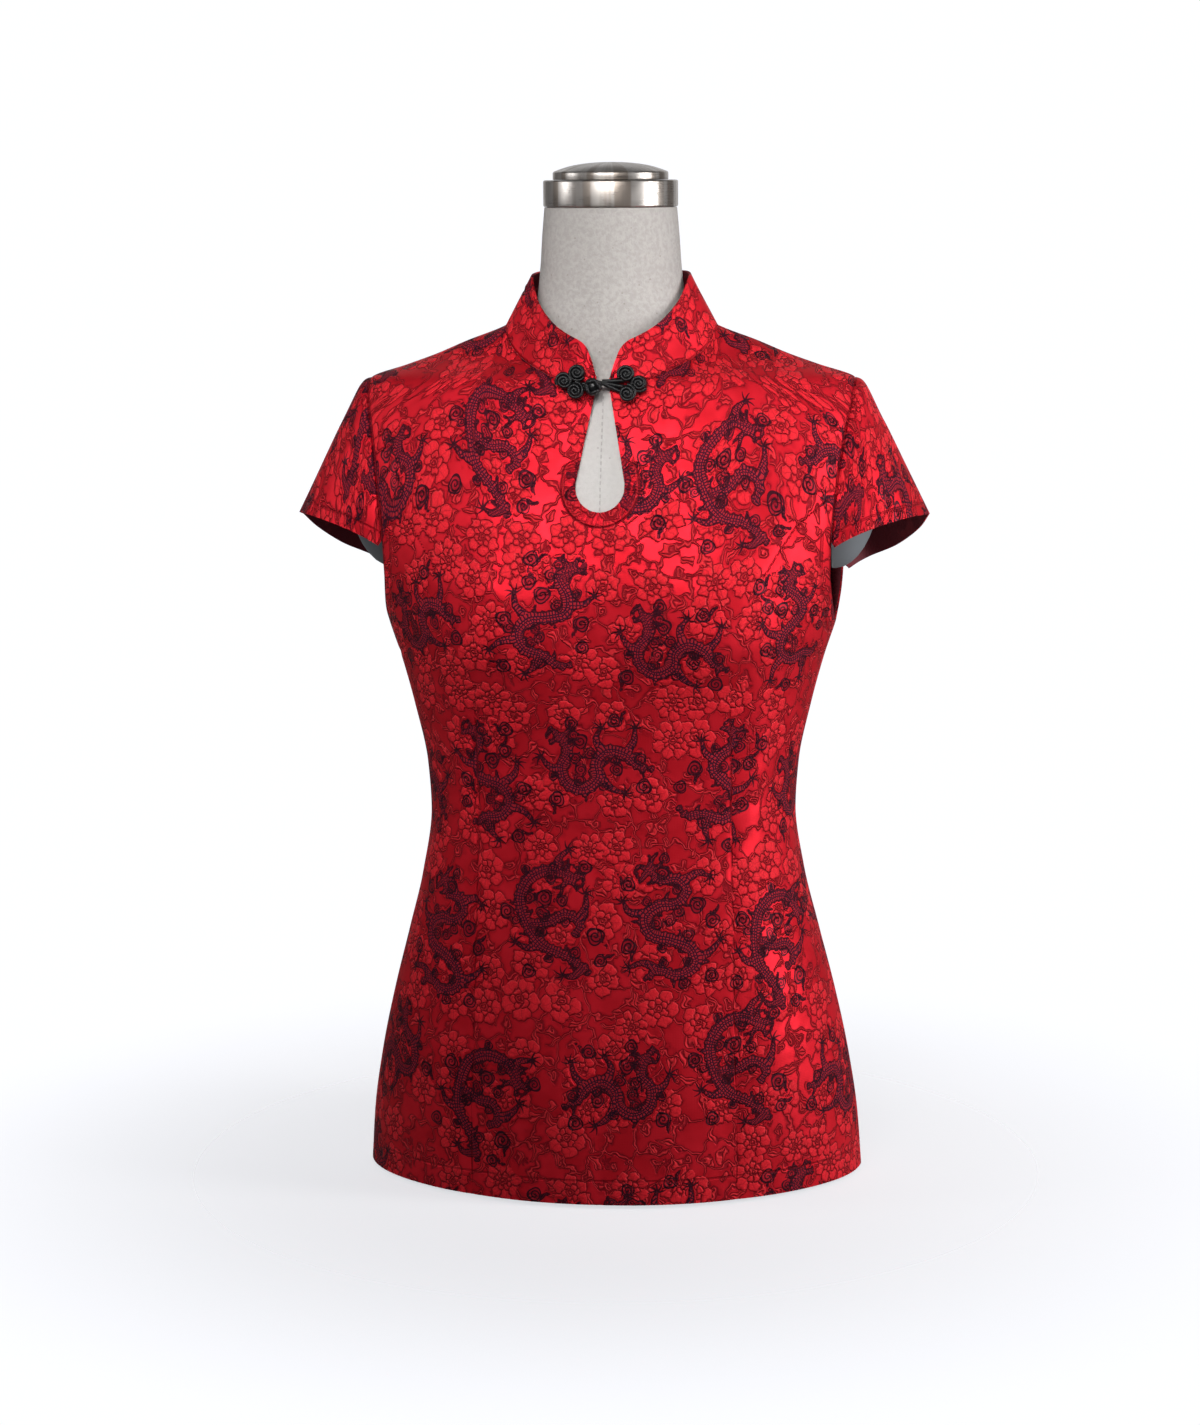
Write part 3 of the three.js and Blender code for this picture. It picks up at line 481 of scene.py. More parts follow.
# from x, z to x, z, bow, half width, depth out of the cloth
frontCreases = [
    (-128, 468, -62, 452, 6, 7, 0.7), (-134, 452, -70, 438, 5, 6, -0.6), (132, 474, 74, 458, -7, 8, 0.8),
    (138, 458, 84, 444, -5, 6, -0.6), (-20, 430, 22, 426, -8, 14, -0.9), (-118, 318, -40, 306, 5, 7, 0.9),
    (-112, 302, -52, 290, 4, 6, -0.8), (124, 322, 66, 300, -6, 8, 1.1), (120, 300, 58, 282, -4, 6, -0.9),
    (-30, 300, 44, 308, 3, 9, 0.6), (-46, 284, 30, 278, -3, 8, -0.6), (112, 392, 104, 262, 6, 9, 1.3),
    (126, 380, 120, 250, 5, 7, -1.2), (-108, 396, -104, 270, -5, 9, 0.9), (-140, 236, -96, 190, 7, 10, 0.9),
    (132, 240, 98, 176, -8, 10, 1.2), (-60, 226, -54, 20, 5, 22, 1.2), (52, 210, 60, 10, -6, 24, 1.4),
    (-6, 190, 2, 10, 3, 20, -0.9), (-132, 150, -122, 8, 5, 16, 1.4), (134, 160, 128, 8, -4, 18, 1.6),
    (-98, 130, -92, 8, 4, 10, -1.1), (96, 140, 100, 8, -4, 10, -1.2), (-150, 500, -120, 540, 5, 6, 0.5),
    (150, 500, 122, 544, -5, 6, 0.5)]
backCreases = [
    (-90, 520, 84, 528, 10, 12, -0.6), (-120, 492, -60, 440, -6, 10, 0.7), (118, 488, 64, 436, 7, 10, 0.8),
    (-112, 330, -30, 318, 8, 8, 1.2), (-118, 308, -36, 298, 6, 7, -1.1), (112, 326, 26, 322, -8, 9, 1.3),
    (116, 306, 30, 300, -6, 7, -1.0), (-40, 286, 46, 290, 4, 9, 0.9), (-30, 268, 52, 272, 4, 8, -0.8),
    (-104, 286, -40, 270, 5, 6, 0.8), (104, 284, 44, 262, -5, 7, 0.8), (-2, 600, 4, 360, 3, 16, -0.6),
    (-66, 220, -70, 10, -6, 22, 1.4), (58, 230, 66, 8, 5, 24, 1.5), (4, 180, -4, 10, 4, 22, -1.1),
    (-126, 170, -132, 8, 5, 16, 1.4), (128, 150, 134, 8, -5, 18, 1.5), (-100, 140, -102, 8, 4, 9, -1.1),
    (100, 150, 104, 8, -4, 9, -1.1)]
sleeveCreases = [  # here x is the share round the armhole and z the share down the sleeve, both in hundredths
    (34, 10, 30, 90, 3, 3.2, 0.8), (44, 20, 42, 96, -2, 2.6, -0.7), (58, 8, 60, 88, 3, 3.4, 0.9),
    (70, 16, 74, 92, -3, 3.2, -0.8), (22, 20, 16, 86, 2, 3, 0.6), (50, 2, 50, 34, 2, 3, -0.5)]


# Front and back.
# Steps of the grid of half a panel: across, up to the underarm, up to the keyhole's foot and on to the top.
panelGrid = {"columns": 110, "lowerRows": 192, "keyholeRows": 38, "topRows": 50}
# The waist dart's place from the middle at the waist and at the hem, its top, and the cloth it takes
# up at the waist and over what height.
waistDart = {"x": 94, "hemX": 100, "run": 280, "waist": 285, "top": 372, "backTop": 440,
             "take": 11, "spread": 62, "takeTop": 432, "trough": 0.5, "troughHalf": 2.2}
# The soft wave of the hem: how deep and long it is in mm, how it fades upwards and its share on each side.
hemWave = {"deep": 0.9, "length": 37, "shift": 0.6, "fade": 46, "left": 1.15, "right": 0.85}
# Up to these levels the armhole has its own turned and stitched edge; above them the sleeve starts.
armStitchTop = {"front": 500, "back": 474}
# Darts that run in from the side seam and from the armhole, as places on the front.
sideDarts = [[(160, 402), (138, 423)]]
armDarts = [[(165, 523), (142, 505), (129, 486), (118, 469)]]


def panelHalf(side):
    columns = panelGrid["columns"]
    u = np.linspace(0, 1, columns + 1)[None, :]
    level = np.linspace(garment["hem"], garment["underarm"], panelGrid["lowerRows"] + 1)[:, None]
    lower = lowerGrid(u + 0 * level, level + 0 * u)
    foot = keyholeRun["foot"]
    v = np.linspace(0, foot, panelGrid["keyholeRows"] + 1)[1:]
    g = np.linspace(0, 1, panelGrid["topRows"] + 1)[1:]
    v = np.concatenate([v, foot + (1 - foot) * (g * 1.25 - 0.25 * g * g)])[:, None]
    upper = upperGrid(u + 0 * v, v + 0 * u, side)
    x, z = (np.concatenate([low, high]) for low, high in zip(lower, upper))
    y = clothY(x, z, side) + side * garment["seamGap"] / 2
    up = np.concatenate([0 * level, v])
    return np.stack([x, y, z], -1), u + 0 * up, up + 0 * u


def polylineGap(x, z, line):  # how far points lie from a line of short straight stretches
    best = np.full(x.shape, 1e3)
    for (x0, z0), (x1, z1) in zip(line, line[1:]):
        run = (x1 - x0, z1 - z0)
        t = np.clip(((x - x0) * run[0] + (z - z0) * run[1]) / (run[0] ** 2 + run[1] ** 2), 0, 1)
        best = np.minimum(best, np.hypot(x - x0 - t * run[0], z - z0 - t * run[1]))
    return best


def nearestOf(*gaps):  # of signed distances, the one nearest to its line
    gaps = np.stack(gaps)
    return np.take_along_axis(gaps, np.abs(gaps).argmin(axis=0)[None], 0)[0]


def buildPanel(name, side, creases):
    half, u, v = panelHalf(side)
    lowerRows, columns = panelGrid["lowerRows"], panelGrid["columns"]
    rows = len(half)
    split = lowerRows + panelGrid["keyholeRows"] if side < 0 else rows - 1
    across = np.gradient(half, axis=1)
    upward = np.gradient(half, axis=0)
    outward = np.cross(across, upward) * -side
    outward /= np.maximum(np.linalg.norm(outward, axis=2), 1e-9)[..., None]
    x, z = half[..., 0], half[..., 2]
    reach = x[:, :1] + runningLength(half[..., :2], 1)  # from the centre line, along the cloth
    climb = garment["hem"] + runningLength(half[..., 1:], 0)
    climb = (climb + climb[:, :1]) / 2
    under = np.clip((waistDart["waist"] - z) / waistDart["run"], 0, 1)
    dart = x - (waistDart["x"] + (waistDart["hemX"] - waistDart["x"]) * under)
    take = waistDart["take"] * np.exp(-((z - waistDart["waist"]) / waistDart["spread"]) ** 2)
    take = take * (z < waistDart["takeTop"])
    fromHem = z - garment["hem"] - stitchIn["hem"]
    keyhole = np.stack(centreEdge(np.linspace(keyholeRun["foot"], 1, 90), -1), 1)
    if side < 0:
        edge = polylineGap(x, z, [tuple(p) for p in keyhole])
        edge = edge + 50 * smoothRise(z, 548, 572)  # the turned band ends above the round of the keyhole
    else:
        edge = np.full_like(x, farAway)
    armGap = polylineGap(x, z, [tuple(p) for p in np.stack(armEdge(np.linspace(0, 1, 40), side), 1)])
    armStitch = np.where(z < armStitchTop["front" if side < 0 else "back"], armGap - stitchIn["armhole"], 30)
    stitch = nearestOf(fromHem, edge - stitchIn["keyhole"], armStitch)
    dartTop = np.where((z < waistDart["top"]) | (side > 0) & (z < waistDart["backTop"]), 0, farAway)
    dartLine = np.abs(dart) + dartTop
    if side < 0:
        for line in sideDarts + armDarts:
            dartLine = np.minimum(dartLine, polylineGap(x, z, line))
    # Creases fade out at the seams and at the keyhole.
    ease = smoothRise(1 - u, 0.0, 0.09) * smoothRise(1 - v, 0.0, 0.14) * smoothRise(edge, 2, 30)
    wave = hemWave["deep"] * np.sin(x / hemWave["length"] + hemWave["shift"])
    wave = wave * np.exp(-(z - garment["hem"]) / hemWave["fade"])
    index = np.full((2, rows, columns + 1), -1)
    points, cut, fields = [], [], {}
    count = 0
    for k, hand in enumerate((1, -1)):
        bend = (creaseField(x * hand, z, creases) + wave * hemWave["left" if hand > 0 else "right"]) * ease
        bend -= waistDart["trough"] * np.exp(-(dartLine / waistDart["troughHalf"]) ** 2) * ease
        place = half + outward * bend[..., None]
        place = place * np.array([hand, 1, 1])
        flat = np.stack([hand * reach, climb], -1)
        shifted = flat + np.stack([hand * take * (dart > 0), 0 * take], -1)
        keep = np.ones((rows, columns + 1), bool)
        if hand < 0:
            keep[:split + 1, 0] = False
            index[1, :split + 1, 0] = index[0, :split + 1, 0]
        numbers = count + np.cumsum(keep.ravel()) - 1
        index[k][keep] = numbers.reshape(keep.shape)[keep]
        count += int(keep.sum())
        points.append(place[keep])
        cut.append(flat[keep])
        found = motifFields(shifted[keep] + panelCut[name])
        found.update({"stitch": stitch[keep], "dart": dart[keep], "take": take[keep] * hand,
                      "edge": edge[keep], "seamAndShadowLine": np.minimum(dartLine, armGap)[keep]})
        for key, values in found.items():
            fields.setdefault(key, []).append(values)
    points, cut = np.concatenate(points), np.concatenate(cut) + panelCut[name]
    fields = {key: np.concatenate(values) for key, values in fields.items()}
    quads = np.concatenate([gridQuads(index[0], 1, side > 0), gridQuads(index[1], 1, side < 0)])
    coarse = np.concatenate([gridQuads(index[0], 2, side > 0), gridQuads(index[1], 2, side < 0)])
    onSeam = np.abs(points[:, 1] - section["ridge"](points[:, 2]) - side * garment["seamGap"] / 2) < 0.02
    seam = np.nonzero(onSeam)[0]
    return clothShell(name + "_cloth", points, quads, coarse, garment["wall"], cut, fields, seam)


# Where each cut lies on the woven pattern, in mm.
panelCut = {"front": np.array([0.0, 0.0]), "back": np.array([46.0, 31.0])}


# Cap sleeves.
sleeveGrid = {"round": 156, "down": 60}
sleeveCut = {"sleeve_left": np.array([250.0, 70.0]), "sleeve_right": np.array([-215.0, 95.0])}
# Where each end of the armhole seam lies, how the seam's run bends, the gap at the seam, the drop at which
# a sleeve is at its fullest, and how far it stands out beside the seam and fore and aft.
sleeveForm = {"frontEnd": 490, "backEnd": 462, "bend": 1.15, "gap": 0.12, "fullDrop": 90, "puff": 5.4,
              "puffStart": 0.03, "belly": 5}


def armholePoint(f):  # over the shoulder tip, from the front end (f = 0) to the back end (f = 1)
    front = f < 0.5
    end = np.where(front, sleeveForm["frontEnd"], sleeveForm["backEnd"])
    z = garment["tip"] - (garment["tip"] - end) * (np.abs(f - 0.5) * 2) ** sleeveForm["bend"]
    x = np.where(front, curveOf(armholeEdge, "z", "front")(z), curveOf(armholeEdge, "z", "back")(z))
    y = np.where(front, clothY(x, z, -1), clothY(x, z, 1))
    return np.stack([x, y, z], -1)


def sleevePoint(f, q):
    start = armholePoint(f)
    start[..., 0] += sleeveForm["gap"]
    end = np.stack([curveOf(sleeveHem, "at", key)(f) for key in ("x", "y", "z")], -1)
    drop = np.linalg.norm(end - start, axis=-1)
    full = np.minimum(1, drop / sleeveForm["fullDrop"])
    out = np.stack([0.88 + 0 * f, np.sin((f - 0.5) * math.pi) * 0.55, 0.47 + 0 * f], -1)
    out /= np.linalg.norm(out, axis=-1)[..., None]
    point = start + (end - start) * q[..., None]
    puff = sleeveForm["puff"] * full * (1 - q) * (1 - np.exp(-q / sleeveForm["puffStart"]))
    point += out * puff[..., None]
    point[..., 1] += sleeveForm["belly"] * full * np.sin(math.pi * q) * np.sin((f - 0.5) * math.pi * 1.6)
    return point, drop


def buildSleeve(name, hand):
    f = np.linspace(0, 1, sleeveGrid["round"] + 1)[None, :]
    q = (np.linspace(0, 1, sleeveGrid["down"] + 1) ** 1.5)[:, None]
    f, q = f + 0 * q, q + 0 * f
    point, drop = sleevePoint(f, q)
    outward = np.cross(np.gradient(point, axis=1), np.gradient(point, axis=0)) * -1
    outward /= np.maximum(np.linalg.norm(outward, axis=2), 1e-9)[..., None]
    bend = creaseField(f * 100 if hand > 0 else 101 - f * 100, q * 100, sleeveCreases)
    bend *= np.minimum(1, drop / 70) * smoothRise(q, 0.02, 0.3)
    point = (point + outward * bend[..., None]) * np.array([hand, 1, 1])
    along = runningLength(point[24:26], 1)[:1] + 0 * q  # the width of the cut, from a row in the middle
    flat = np.stack([hand * along, -drop * q], -1).reshape(-1, 2) + sleeveCut[name]
    index = np.arange(f.size).reshape(f.shape)
    far = np.full(f.size, farAway)
    fields = {**motifFields(flat), "stitch": ((1 - q) * drop - stitchIn["sleeve"]).ravel(), "dart": -far,
              "take": 0 * far, "edge": far, "seamAndShadowLine": (drop * q).ravel()}
    return clothShell(name + "_cloth", point.reshape(-1, 3), gridQuads(index, 1, hand > 0),
                      gridQuads(index, 2, hand > 0), garment["wall"], flat, fields)


# Collar.
collarGrid = {"round": 132, "up": 30}
collarCut = np.array([18.0, 250.0])
# The round of its front ends, the seam's rise over the panels, the height at which its creases are full, and
# the share that draws the dark seam line at its base wider, as a painted shadow under the collar.
collarForm = {"endsAt": 0.4, "endDrop": 0.84, "endRound": 5.2, "gap": 0.3, "creaseFull": 30,
              "seamShadowShare": 0.55}
# Here x runs in hundredths from the right front end (0) past the centre back (100) to the left one (200).
collarCreases = [
    (3, 68, 64, 80, 1.5, 2.4, 0.55), (3, 61, 64, 73, 1.5, 2.4, -0.5), (14, 20, 22, 62, 2, 2.4, -0.5),
    (60, 10, 56, 90, 2, 4, -0.5), (90, 10, 96, 90, 2, 5, 0.5), (126, 10, 122, 90, 2, 4, -0.5),
    (168, 20, 176, 80, 2, 3, -0.45), (186, 30, 180, 86, -2, 2.4, 0.4)]


def neckSeam(f):  # from the front end past the neck point (f = 0.5) to the centre back
    front = f < 0.5
    x0, z0 = neckEdge(np.clip(f * 2, 0, 1), -1)
    x1, z1 = neckEdge(np.clip(2 - f * 2, 0, 1), 1)
    x, z = np.where(front, x0, x1), np.where(front, z0, z1)
    return np.stack([x, np.where(front, clothY(x, z, -1), clothY(x, z, 1)), z], -1)


def collarPoint(f, q):
    base = neckSeam(f)
    top = np.stack([curveOf(collarTop, "at", key)(f) for key in ("x", "y", "z")], -1)
    fromEnd = np.maximum(base[..., 0] - garment["neckGap"], 0)
    ends = 1 - collarForm["endDrop"] * np.exp(-fromEnd / collarForm["endRound"])
    share = np.where(f < collarForm["endsAt"], ends, 1)
    rise = top - base
    height = np.linalg.norm(rise, axis=-1)
    place = base + rise / height[..., None] * collarForm["gap"] + rise * (share * q)[..., None]
    return place, height * share


def buildCollar():
    t = np.linspace(0, 1, collarGrid["round"] + 1) ** 1.4
    q = np.linspace(0, 1, collarGrid["up"] + 1)[:, None]
    point, height = collarPoint(t[None, :] + 0 * q, q + 0 * t[None, :])
    halves = []
    for hand in (-1, 1):
        outward = np.cross(np.gradient(point, axis=1), np.gradient(point, axis=0))
        outward /= np.maximum(np.linalg.norm(outward, axis=2), 1e-9)[..., None]
        f = t[None, :] * 100 if hand < 0 else 200 - t[None, :] * 100
        bend = creaseField(f + 0 * q, q * 100 + 0 * f, collarCreases)
        bend = bend * np.minimum(1, height / collarForm["creaseFull"])
        halves.append((point + outward * bend[..., None]) * np.array([hand, 1, 1]))
    # The wearer's right front end comes first, then the centre back, then the left front end.
    whole = np.concatenate([halves[0], halves[1][:, -2::-1]], 1)
    height = np.concatenate([height, height[:, -2::-1]], 1)
    middle = collarGrid["round"]
    along = runningLength(whole[14:16], 1)[:1]
    flat = np.stack([along - along[:, middle:middle + 1] + 0 * height, height * q], -1)
    flat = flat.reshape(-1, 2) + collarCut
    index = np.arange(height.size).reshape(height.shape)
    far = np.full(height.size, farAway)
    # the dark seam line at the collar's base is drawn wider here, as a painted shadow under the collar
    fields = {**motifFields(flat), "stitch": ((1 - q) * height - stitchIn["collar"]).ravel(), "dart": -far,
              "take": 0 * far, "edge": far, "seamAndShadowLine": (height * q * collarForm["seamShadowShare"]).ravel()}
    return clothShell("collar_cloth", whole.reshape(-1, 3), gridQuads(index, 1, True),
                      gridQuads(index, 2, True), garment["collarWall"], flat, fields)


# The dress form.
formGrid = {"round": 160, "levels": 230}
# The levels in mm at which the neck starts and the shoulders end, the top, how much higher the shoulders
# are than the cloth's sections, and how softly trunk, neck and arm cut run into each other.
formSize = {"neckFrom": 575, "shoulderTop": 657, "top": 733, "lift": 2.6, "liftFull": 605, "soften": 1.6,
            "armSoften": 2, "armFrom": 425, "armTo": 620}


def buildForm():
    size = formSize
    z = np.linspace(0, size["top"], formGrid["levels"] + 1)
    z = np.unique(np.concatenate([z, [3, 6, 9, 12, 15, 731.8]]))[:, None]  # more levels at the two rims
    turn = ((np.arange(formGrid["round"]) + 0.5) / formGrid["round"] * 2 * math.pi)[None, :]
    lifted = z + size["lift"] * smoothRise(z, size["neckFrom"], size["liftFull"])
    cloth = {key: section[key](np.minimum(lifted, size["shoulderTop"])) for key in section}
    low, high = np.minimum(z, size["shoulderTop"]), np.maximum(z, size["neckFrom"])
    ease = {key: curveOf(formEase, "z", key)(low) for key in ("side", "front", "back")}
    neck = {key: curveOf(neckSections, "z", key)(high) for key in ("half", "front", "back", "ridge")}
    shoulders, front = z < size["shoulderTop"], np.cos(turn) > 0
    half = np.where(shoulders, np.maximum(cloth["half"] - ease["side"], neck["half"]), neck["half"])
    power = np.where(shoulders, cloth["square"], 2)
    x = half * np.abs(np.sin(turn)) ** (2 / power)
    depth = np.where(front, cloth["front"] - ease["front"], cloth["back"] - ease["back"])
    rounded = roundedDepth(x, half, power)
    bust = np.where(front, bustAt(x, z) * np.minimum(1, rounded * 2), 0)
    trunk = np.where(shoulders, (depth + bust) * rounded, 0)
    neckRound = np.where(z >= size["neckFrom"], roundedDepth(x, neck["half"], 2), 0)
    throat = np.where(front, neck["front"], neck["back"]) * neckRound
    soft, armSoft = size["soften"], size["armSoften"]
    deep = np.log(np.exp(trunk / soft) + np.exp(throat / soft) - 1) * soft
    limit = np.where((z < size["armFrom"]) | (z > size["armTo"]), 400, curveOf(armCut, "z", "half")(z))
    x = np.sign(np.sin(turn)) * (x - armSoft * np.log(1 + np.exp((x - limit) / armSoft)))
    y = np.where(shoulders, cloth["ridge"], neck["ridge"]) + np.where(front, -1, 1) * deep
    grid = np.stack([x, y, z + 0 * x], -1)
    rows, count = grid.shape[:2]
    index = np.arange(rows * count).reshape(rows, count)
    ring = np.concatenate([index, index[:, :1]], 1)
    quads = gridQuads(ring, 1, False)
    points = np.concatenate([grid.reshape(-1, 3), [(0, 0, 0), (0, capSize["y"], size["top"])]])
    foot, head = rows * count, rows * count + 1
    faces = quads.tolist()
    faces += [(ring[0, i + 1], ring[0, i], foot) for i in range(count)]
    faces += [(ring[-1, i], ring[-1, i + 1], head) for i in range(count)]
    mesh = bpy.data.meshes.new("form_cover")
    mesh.from_pydata((points * mm).tolist(), [], [tuple(int(i) for i in f) for f in faces])
    mesh.polygons.foreach_set("use_smooth", [True] * len(mesh.polygons))
    mesh.set_sharp_from_angle(angle=math.radians(50))
    piece = bpy.data.objects.new("form_cover", mesh)
    bpy.context.scene.collection.objects.link(piece)
    return piece


# Hard pieces, by Blender's own tools.
def finishPiece(piece, name, smoothAngle=35):  # the piece's place goes into its mesh
    piece.name = name
    piece.data.name = name
    bpy.ops.object.mode_set(mode="OBJECT")
    bpy.ops.object.select_all(action="DESELECT")
    piece.select_set(True)
    bpy.context.view_layer.objects.active = piece
    bpy.ops.object.transform_apply(location=True, rotation=True, scale=True)
    bpy.ops.object.shade_smooth_by_angle(angle=math.radians(smoothAngle))
    piece.select_set(False)
    return piece


def pickFaces(piece, test):  # in edit mode: selects the faces whose middle and normal pass the test
    bpy.ops.object.mode_set(mode="OBJECT")
    for edge in piece.data.edges:
        edge.select = False
    for vertex in piece.data.vertices:
        vertex.select = False
    for face in piece.data.polygons:
        face.select = bool(test(face.center, face.normal))
    bpy.ops.object.mode_set(mode="EDIT")


def stepTop(steps):  # insets the selected face, then lifts it, once for each step
    for inset, lift in steps:
        bpy.ops.mesh.inset(thickness=inset * mm, depth=0)
        bpy.ops.transform.translate(value=(0, 0, lift * mm))


def bevelled(piece, width, segments, angle=30):
    bevel = piece.modifiers.new("rounded edges", "BEVEL")
    bevel.width, bevel.segments = width * mm, segments
    bevel.limit_method, bevel.angle_limit = "ANGLE", math.radians(angle)
    bpy.context.view_layer.objects.active = piece
    bpy.ops.object.modifier_apply(modifier=bevel.name)


# The neck cap in mm. The dome's steps are each an inset and a lift.
capSize = {"radius": 50.2, "level": 733.4, "height": 19.6, "topRadius": 43, "topRise": 5.2, "topGap": 0.3,
           "y": 7, "sides": 128,
           "ringGroove": [(1.4, 0), (0.5, -0.5), (0.8, 0), (0.4, 0.45)],
           "dome": [(0.9, 0.9), (1.4, 0.5), (3.2, 1.2), (5, 1.6), (5, 1.2), (6, 1.0), (6, 0.7), (7, 0.5),
                    (5, 0.1)]}


def buildCapRing():
    size = capSize
    middle = (0, size["y"] * mm, (size["level"] + size["height"] / 2) * mm)
    bpy.ops.mesh.primitive_cylinder_add(vertices=size["sides"], radius=size["radius"] * mm,
                                        depth=size["height"] * mm, location=middle)
    ring = bpy.context.object
    bpy.ops.object.mode_set(mode="EDIT")
    pickFaces(ring, lambda middle, normal: normal.z > 0.9)
    stepTop(size["ringGroove"])
    bpy.ops.object.mode_set(mode="OBJECT")
    bevelled(ring, 1.6, 4, 60)
    return finishPiece(ring, "cap_ring_steel")


def buildCapTop():
    size = capSize
    low = size["level"] + size["height"] + size["topGap"]
    middle = (0, size["y"] * mm, (low + size["topRise"] / 2) * mm)
    bpy.ops.mesh.primitive_cylinder_add(vertices=size["sides"], radius=size["topRadius"] * mm,
                                        depth=size["topRise"] * mm, location=middle)
    top = bpy.context.object
    bpy.ops.object.mode_set(mode="EDIT")
    pickFaces(top, lambda middle, normal: normal.z > 0.9)
    stepTop(size["dome"])
    bpy.ops.object.mode_set(mode="OBJECT")
    bevelled(top, 0.5, 3, 25)
    return finishPiece(top, "cap_top_steel")


# The domed plates of the arm stumps in mm.
plateSize = {"x": 165.45, "y": 6, "z": 530, "halfY": 41, "halfZ": 66, "rim": 3.5, "dome": 33, "steps": 9}


def buildArmPlate(name, hand):
    size = plateSize
    middle = (hand * (size["x"] + size["rim"] / 2) * mm, size["y"] * mm, size["z"] * mm)
    bpy.ops.mesh.primitive_cylinder_add(vertices=96, radius=1, depth=size["rim"] * mm, location=middle,
                                        rotation=(0, hand * math.pi / 2, 0))
    plate = bpy.context.object
    plate.scale = (size["halfZ"] * mm, size["halfY"] * mm, 1)
    bpy.ops.object.transform_apply(location=False, rotation=True, scale=True)
    bpy.ops.object.mode_set(mode="EDIT")
    pickFaces(plate, lambda middle, normal: normal.x * hand > 0.9)
    centre = plate.location
    narrow, wide, high = 0.0004, 1.0, 0.0
    for k in range(1, size["steps"] + 1):  # each step goes along a quarter round to the middle of the dome
        turn = k / (size["steps"] + 0.3) * math.pi / 2
        share, lift = math.cos(turn) / wide, size["dome"] * (math.sin(turn) - high)
        bpy.ops.mesh.inset(thickness=narrow, depth=0)
        bpy.ops.transform.resize(value=(1, share, share), center_override=centre)
        bpy.ops.transform.translate(value=(hand * lift * mm, 0, 0))
        wide, high = math.cos(turn), math.sin(turn)
    bpy.ops.object.mode_set(mode="OBJECT")
    bevelled(plate, 0.8, 3, 24)
    return finishPiece(plate, name, 60)


# The frog fastening.
# Cord radii in mm, how flat a ball is, and how far balls, their ties, the loop and the button stand
# before the cloth. Strands are places, balls are places with a radius.
frogSize = {"cord": 1.3, "flat": 0.74, "loopCord": 1.9, "loopFlat": 0.86, "lean": 0.42,
            "ballOut": 1.5, "tieOut": 2.6, "tieMiddleOut": 2.8, "loopOut": 4.6,
            "strands": [[(16, 600.6), (11, 602.6), (6, 604.9), (1, 607.2), (-3, 608), (-8, 607.4), (-11, 605),
                         (-8, 603), (-4, 604.4)],
                        [(16, 605), (10, 606), (5, 607), (0, 608)],
                        [(16, 609.6), (10, 609.3), (5, 609), (0, 608.8)]],
            "right": [(-27.6, 609.4, 7.2), (-18.4, 615.4, 7.2), (-19.4, 602.8, 7.2), (-12.6, 604.8, 4.2)],
            "left": [(17.6, 614.4, 7.2), (27, 607.6, 7.2), (18.6, 601, 7.2)]}
buttonSize = {"x": -6.3, "z": 605.6, "radius": 6.3, "deep": 5.4, "out": 10.9, "coreIn": 1.8, "cord": 1.25,
              "wide": 0.82, "ripple": 0.05, "lean": 0.62, "bulge": 1.25}


def frogY(x, z):
    under = clothY(np.float64(x), np.float64(min(z, garment["neckFront"])), -1)
    return float(under) + max(z - garment["neckFront"], 0) * frogSize["lean"]


def cordTube(path, radius, sides=8, closed=False):  # points, faces and texture places of one cord
    path = np.array(path, float)
    if closed:
        ahead = np.roll(path, -1, axis=0) - np.roll(path, 1, axis=0)
    else:
        ahead = np.gradient(path, axis=0)
    ahead /= np.linalg.norm(ahead, axis=1)[:, None]
    radius = np.broadcast_to(radius, len(path))
    side = np.cross(ahead[0], (0.3, 0.2, 1.0))
    frames = []
    for direction in ahead:  # the frame is carried along without twisting
        side = side - direction * (side @ direction)
        side = side / np.linalg.norm(side)
        frames.append((side, np.cross(direction, side)))
    turn = np.arange(sides) / sides * 2 * math.pi
    rings = [p + r * (np.outer(np.cos(turn), a) + np.outer(np.sin(turn), b))
             for p, r, (a, b) in zip(path, radius, frames)]
    run = np.concatenate([[0], np.cumsum(np.linalg.norm(np.diff(path, axis=0), axis=1))])
    points = np.concatenate(rings)
    count = len(path)
    faces, places = [], []
    for i in range(count if closed else count - 1):
        for k in range(sides):
            a, b = i * sides + k, i * sides + (k + 1) % sides
            c, d = ((i + 1) % count) * sides + (k + 1) % sides, ((i + 1) % count) * sides + k
            faces.append((a, b, c, d))
            u0, u1 = run[i], run[i] + np.linalg.norm(path[(i + 1) % count] - path[i])
            places += [(u0, k / sides), (u0, (k + 1) / sides), (u1, (k + 1) / sides), (u1, k / sides)]
    if not closed:
        for ring, turned in ((0, True), (count - 1, False)):
            corners = [ring * sides + k for k in range(sides)]
            faces.append(tuple(reversed(corners)) if turned else tuple(corners))
            places += [(run[ring], 0.0)] * sides
    return points, faces, places


def joinParts(name, parts):
    points, faces, places, base = [], [], [], 0
    for partPoints, partFaces, partPlaces in parts:
        points.append(partPoints)
        faces += [tuple(i + base for i in face) for face in partFaces]
        places += partPlaces
        base += len(partPoints)
    mesh = bpy.data.meshes.new(name)
    mesh.from_pydata((np.concatenate(points) * mm).tolist(), [], faces)
    layer = mesh.uv_layers.new(name="cord")
    layer.data.foreach_set("uv", np.array(places, np.float32).ravel())
    mesh.polygons.foreach_set("use_smooth", [True] * len(mesh.polygons))
    mesh.set_sharp_from_angle(angle=math.radians(60))
    piece = bpy.data.objects.new(name, mesh)
    bpy.context.scene.collection.objects.link(piece)
    return piece


def ballCore(x, y, z, radius, deep):  # a smooth core under the wound cord
    latitudes = np.linspace(0.02, 0.98, 9) * math.pi
    return cordTube([(x, y + deep * math.cos(a), z) for a in latitudes],
                    [radius * math.sin(a) for a in latitudes], 18)


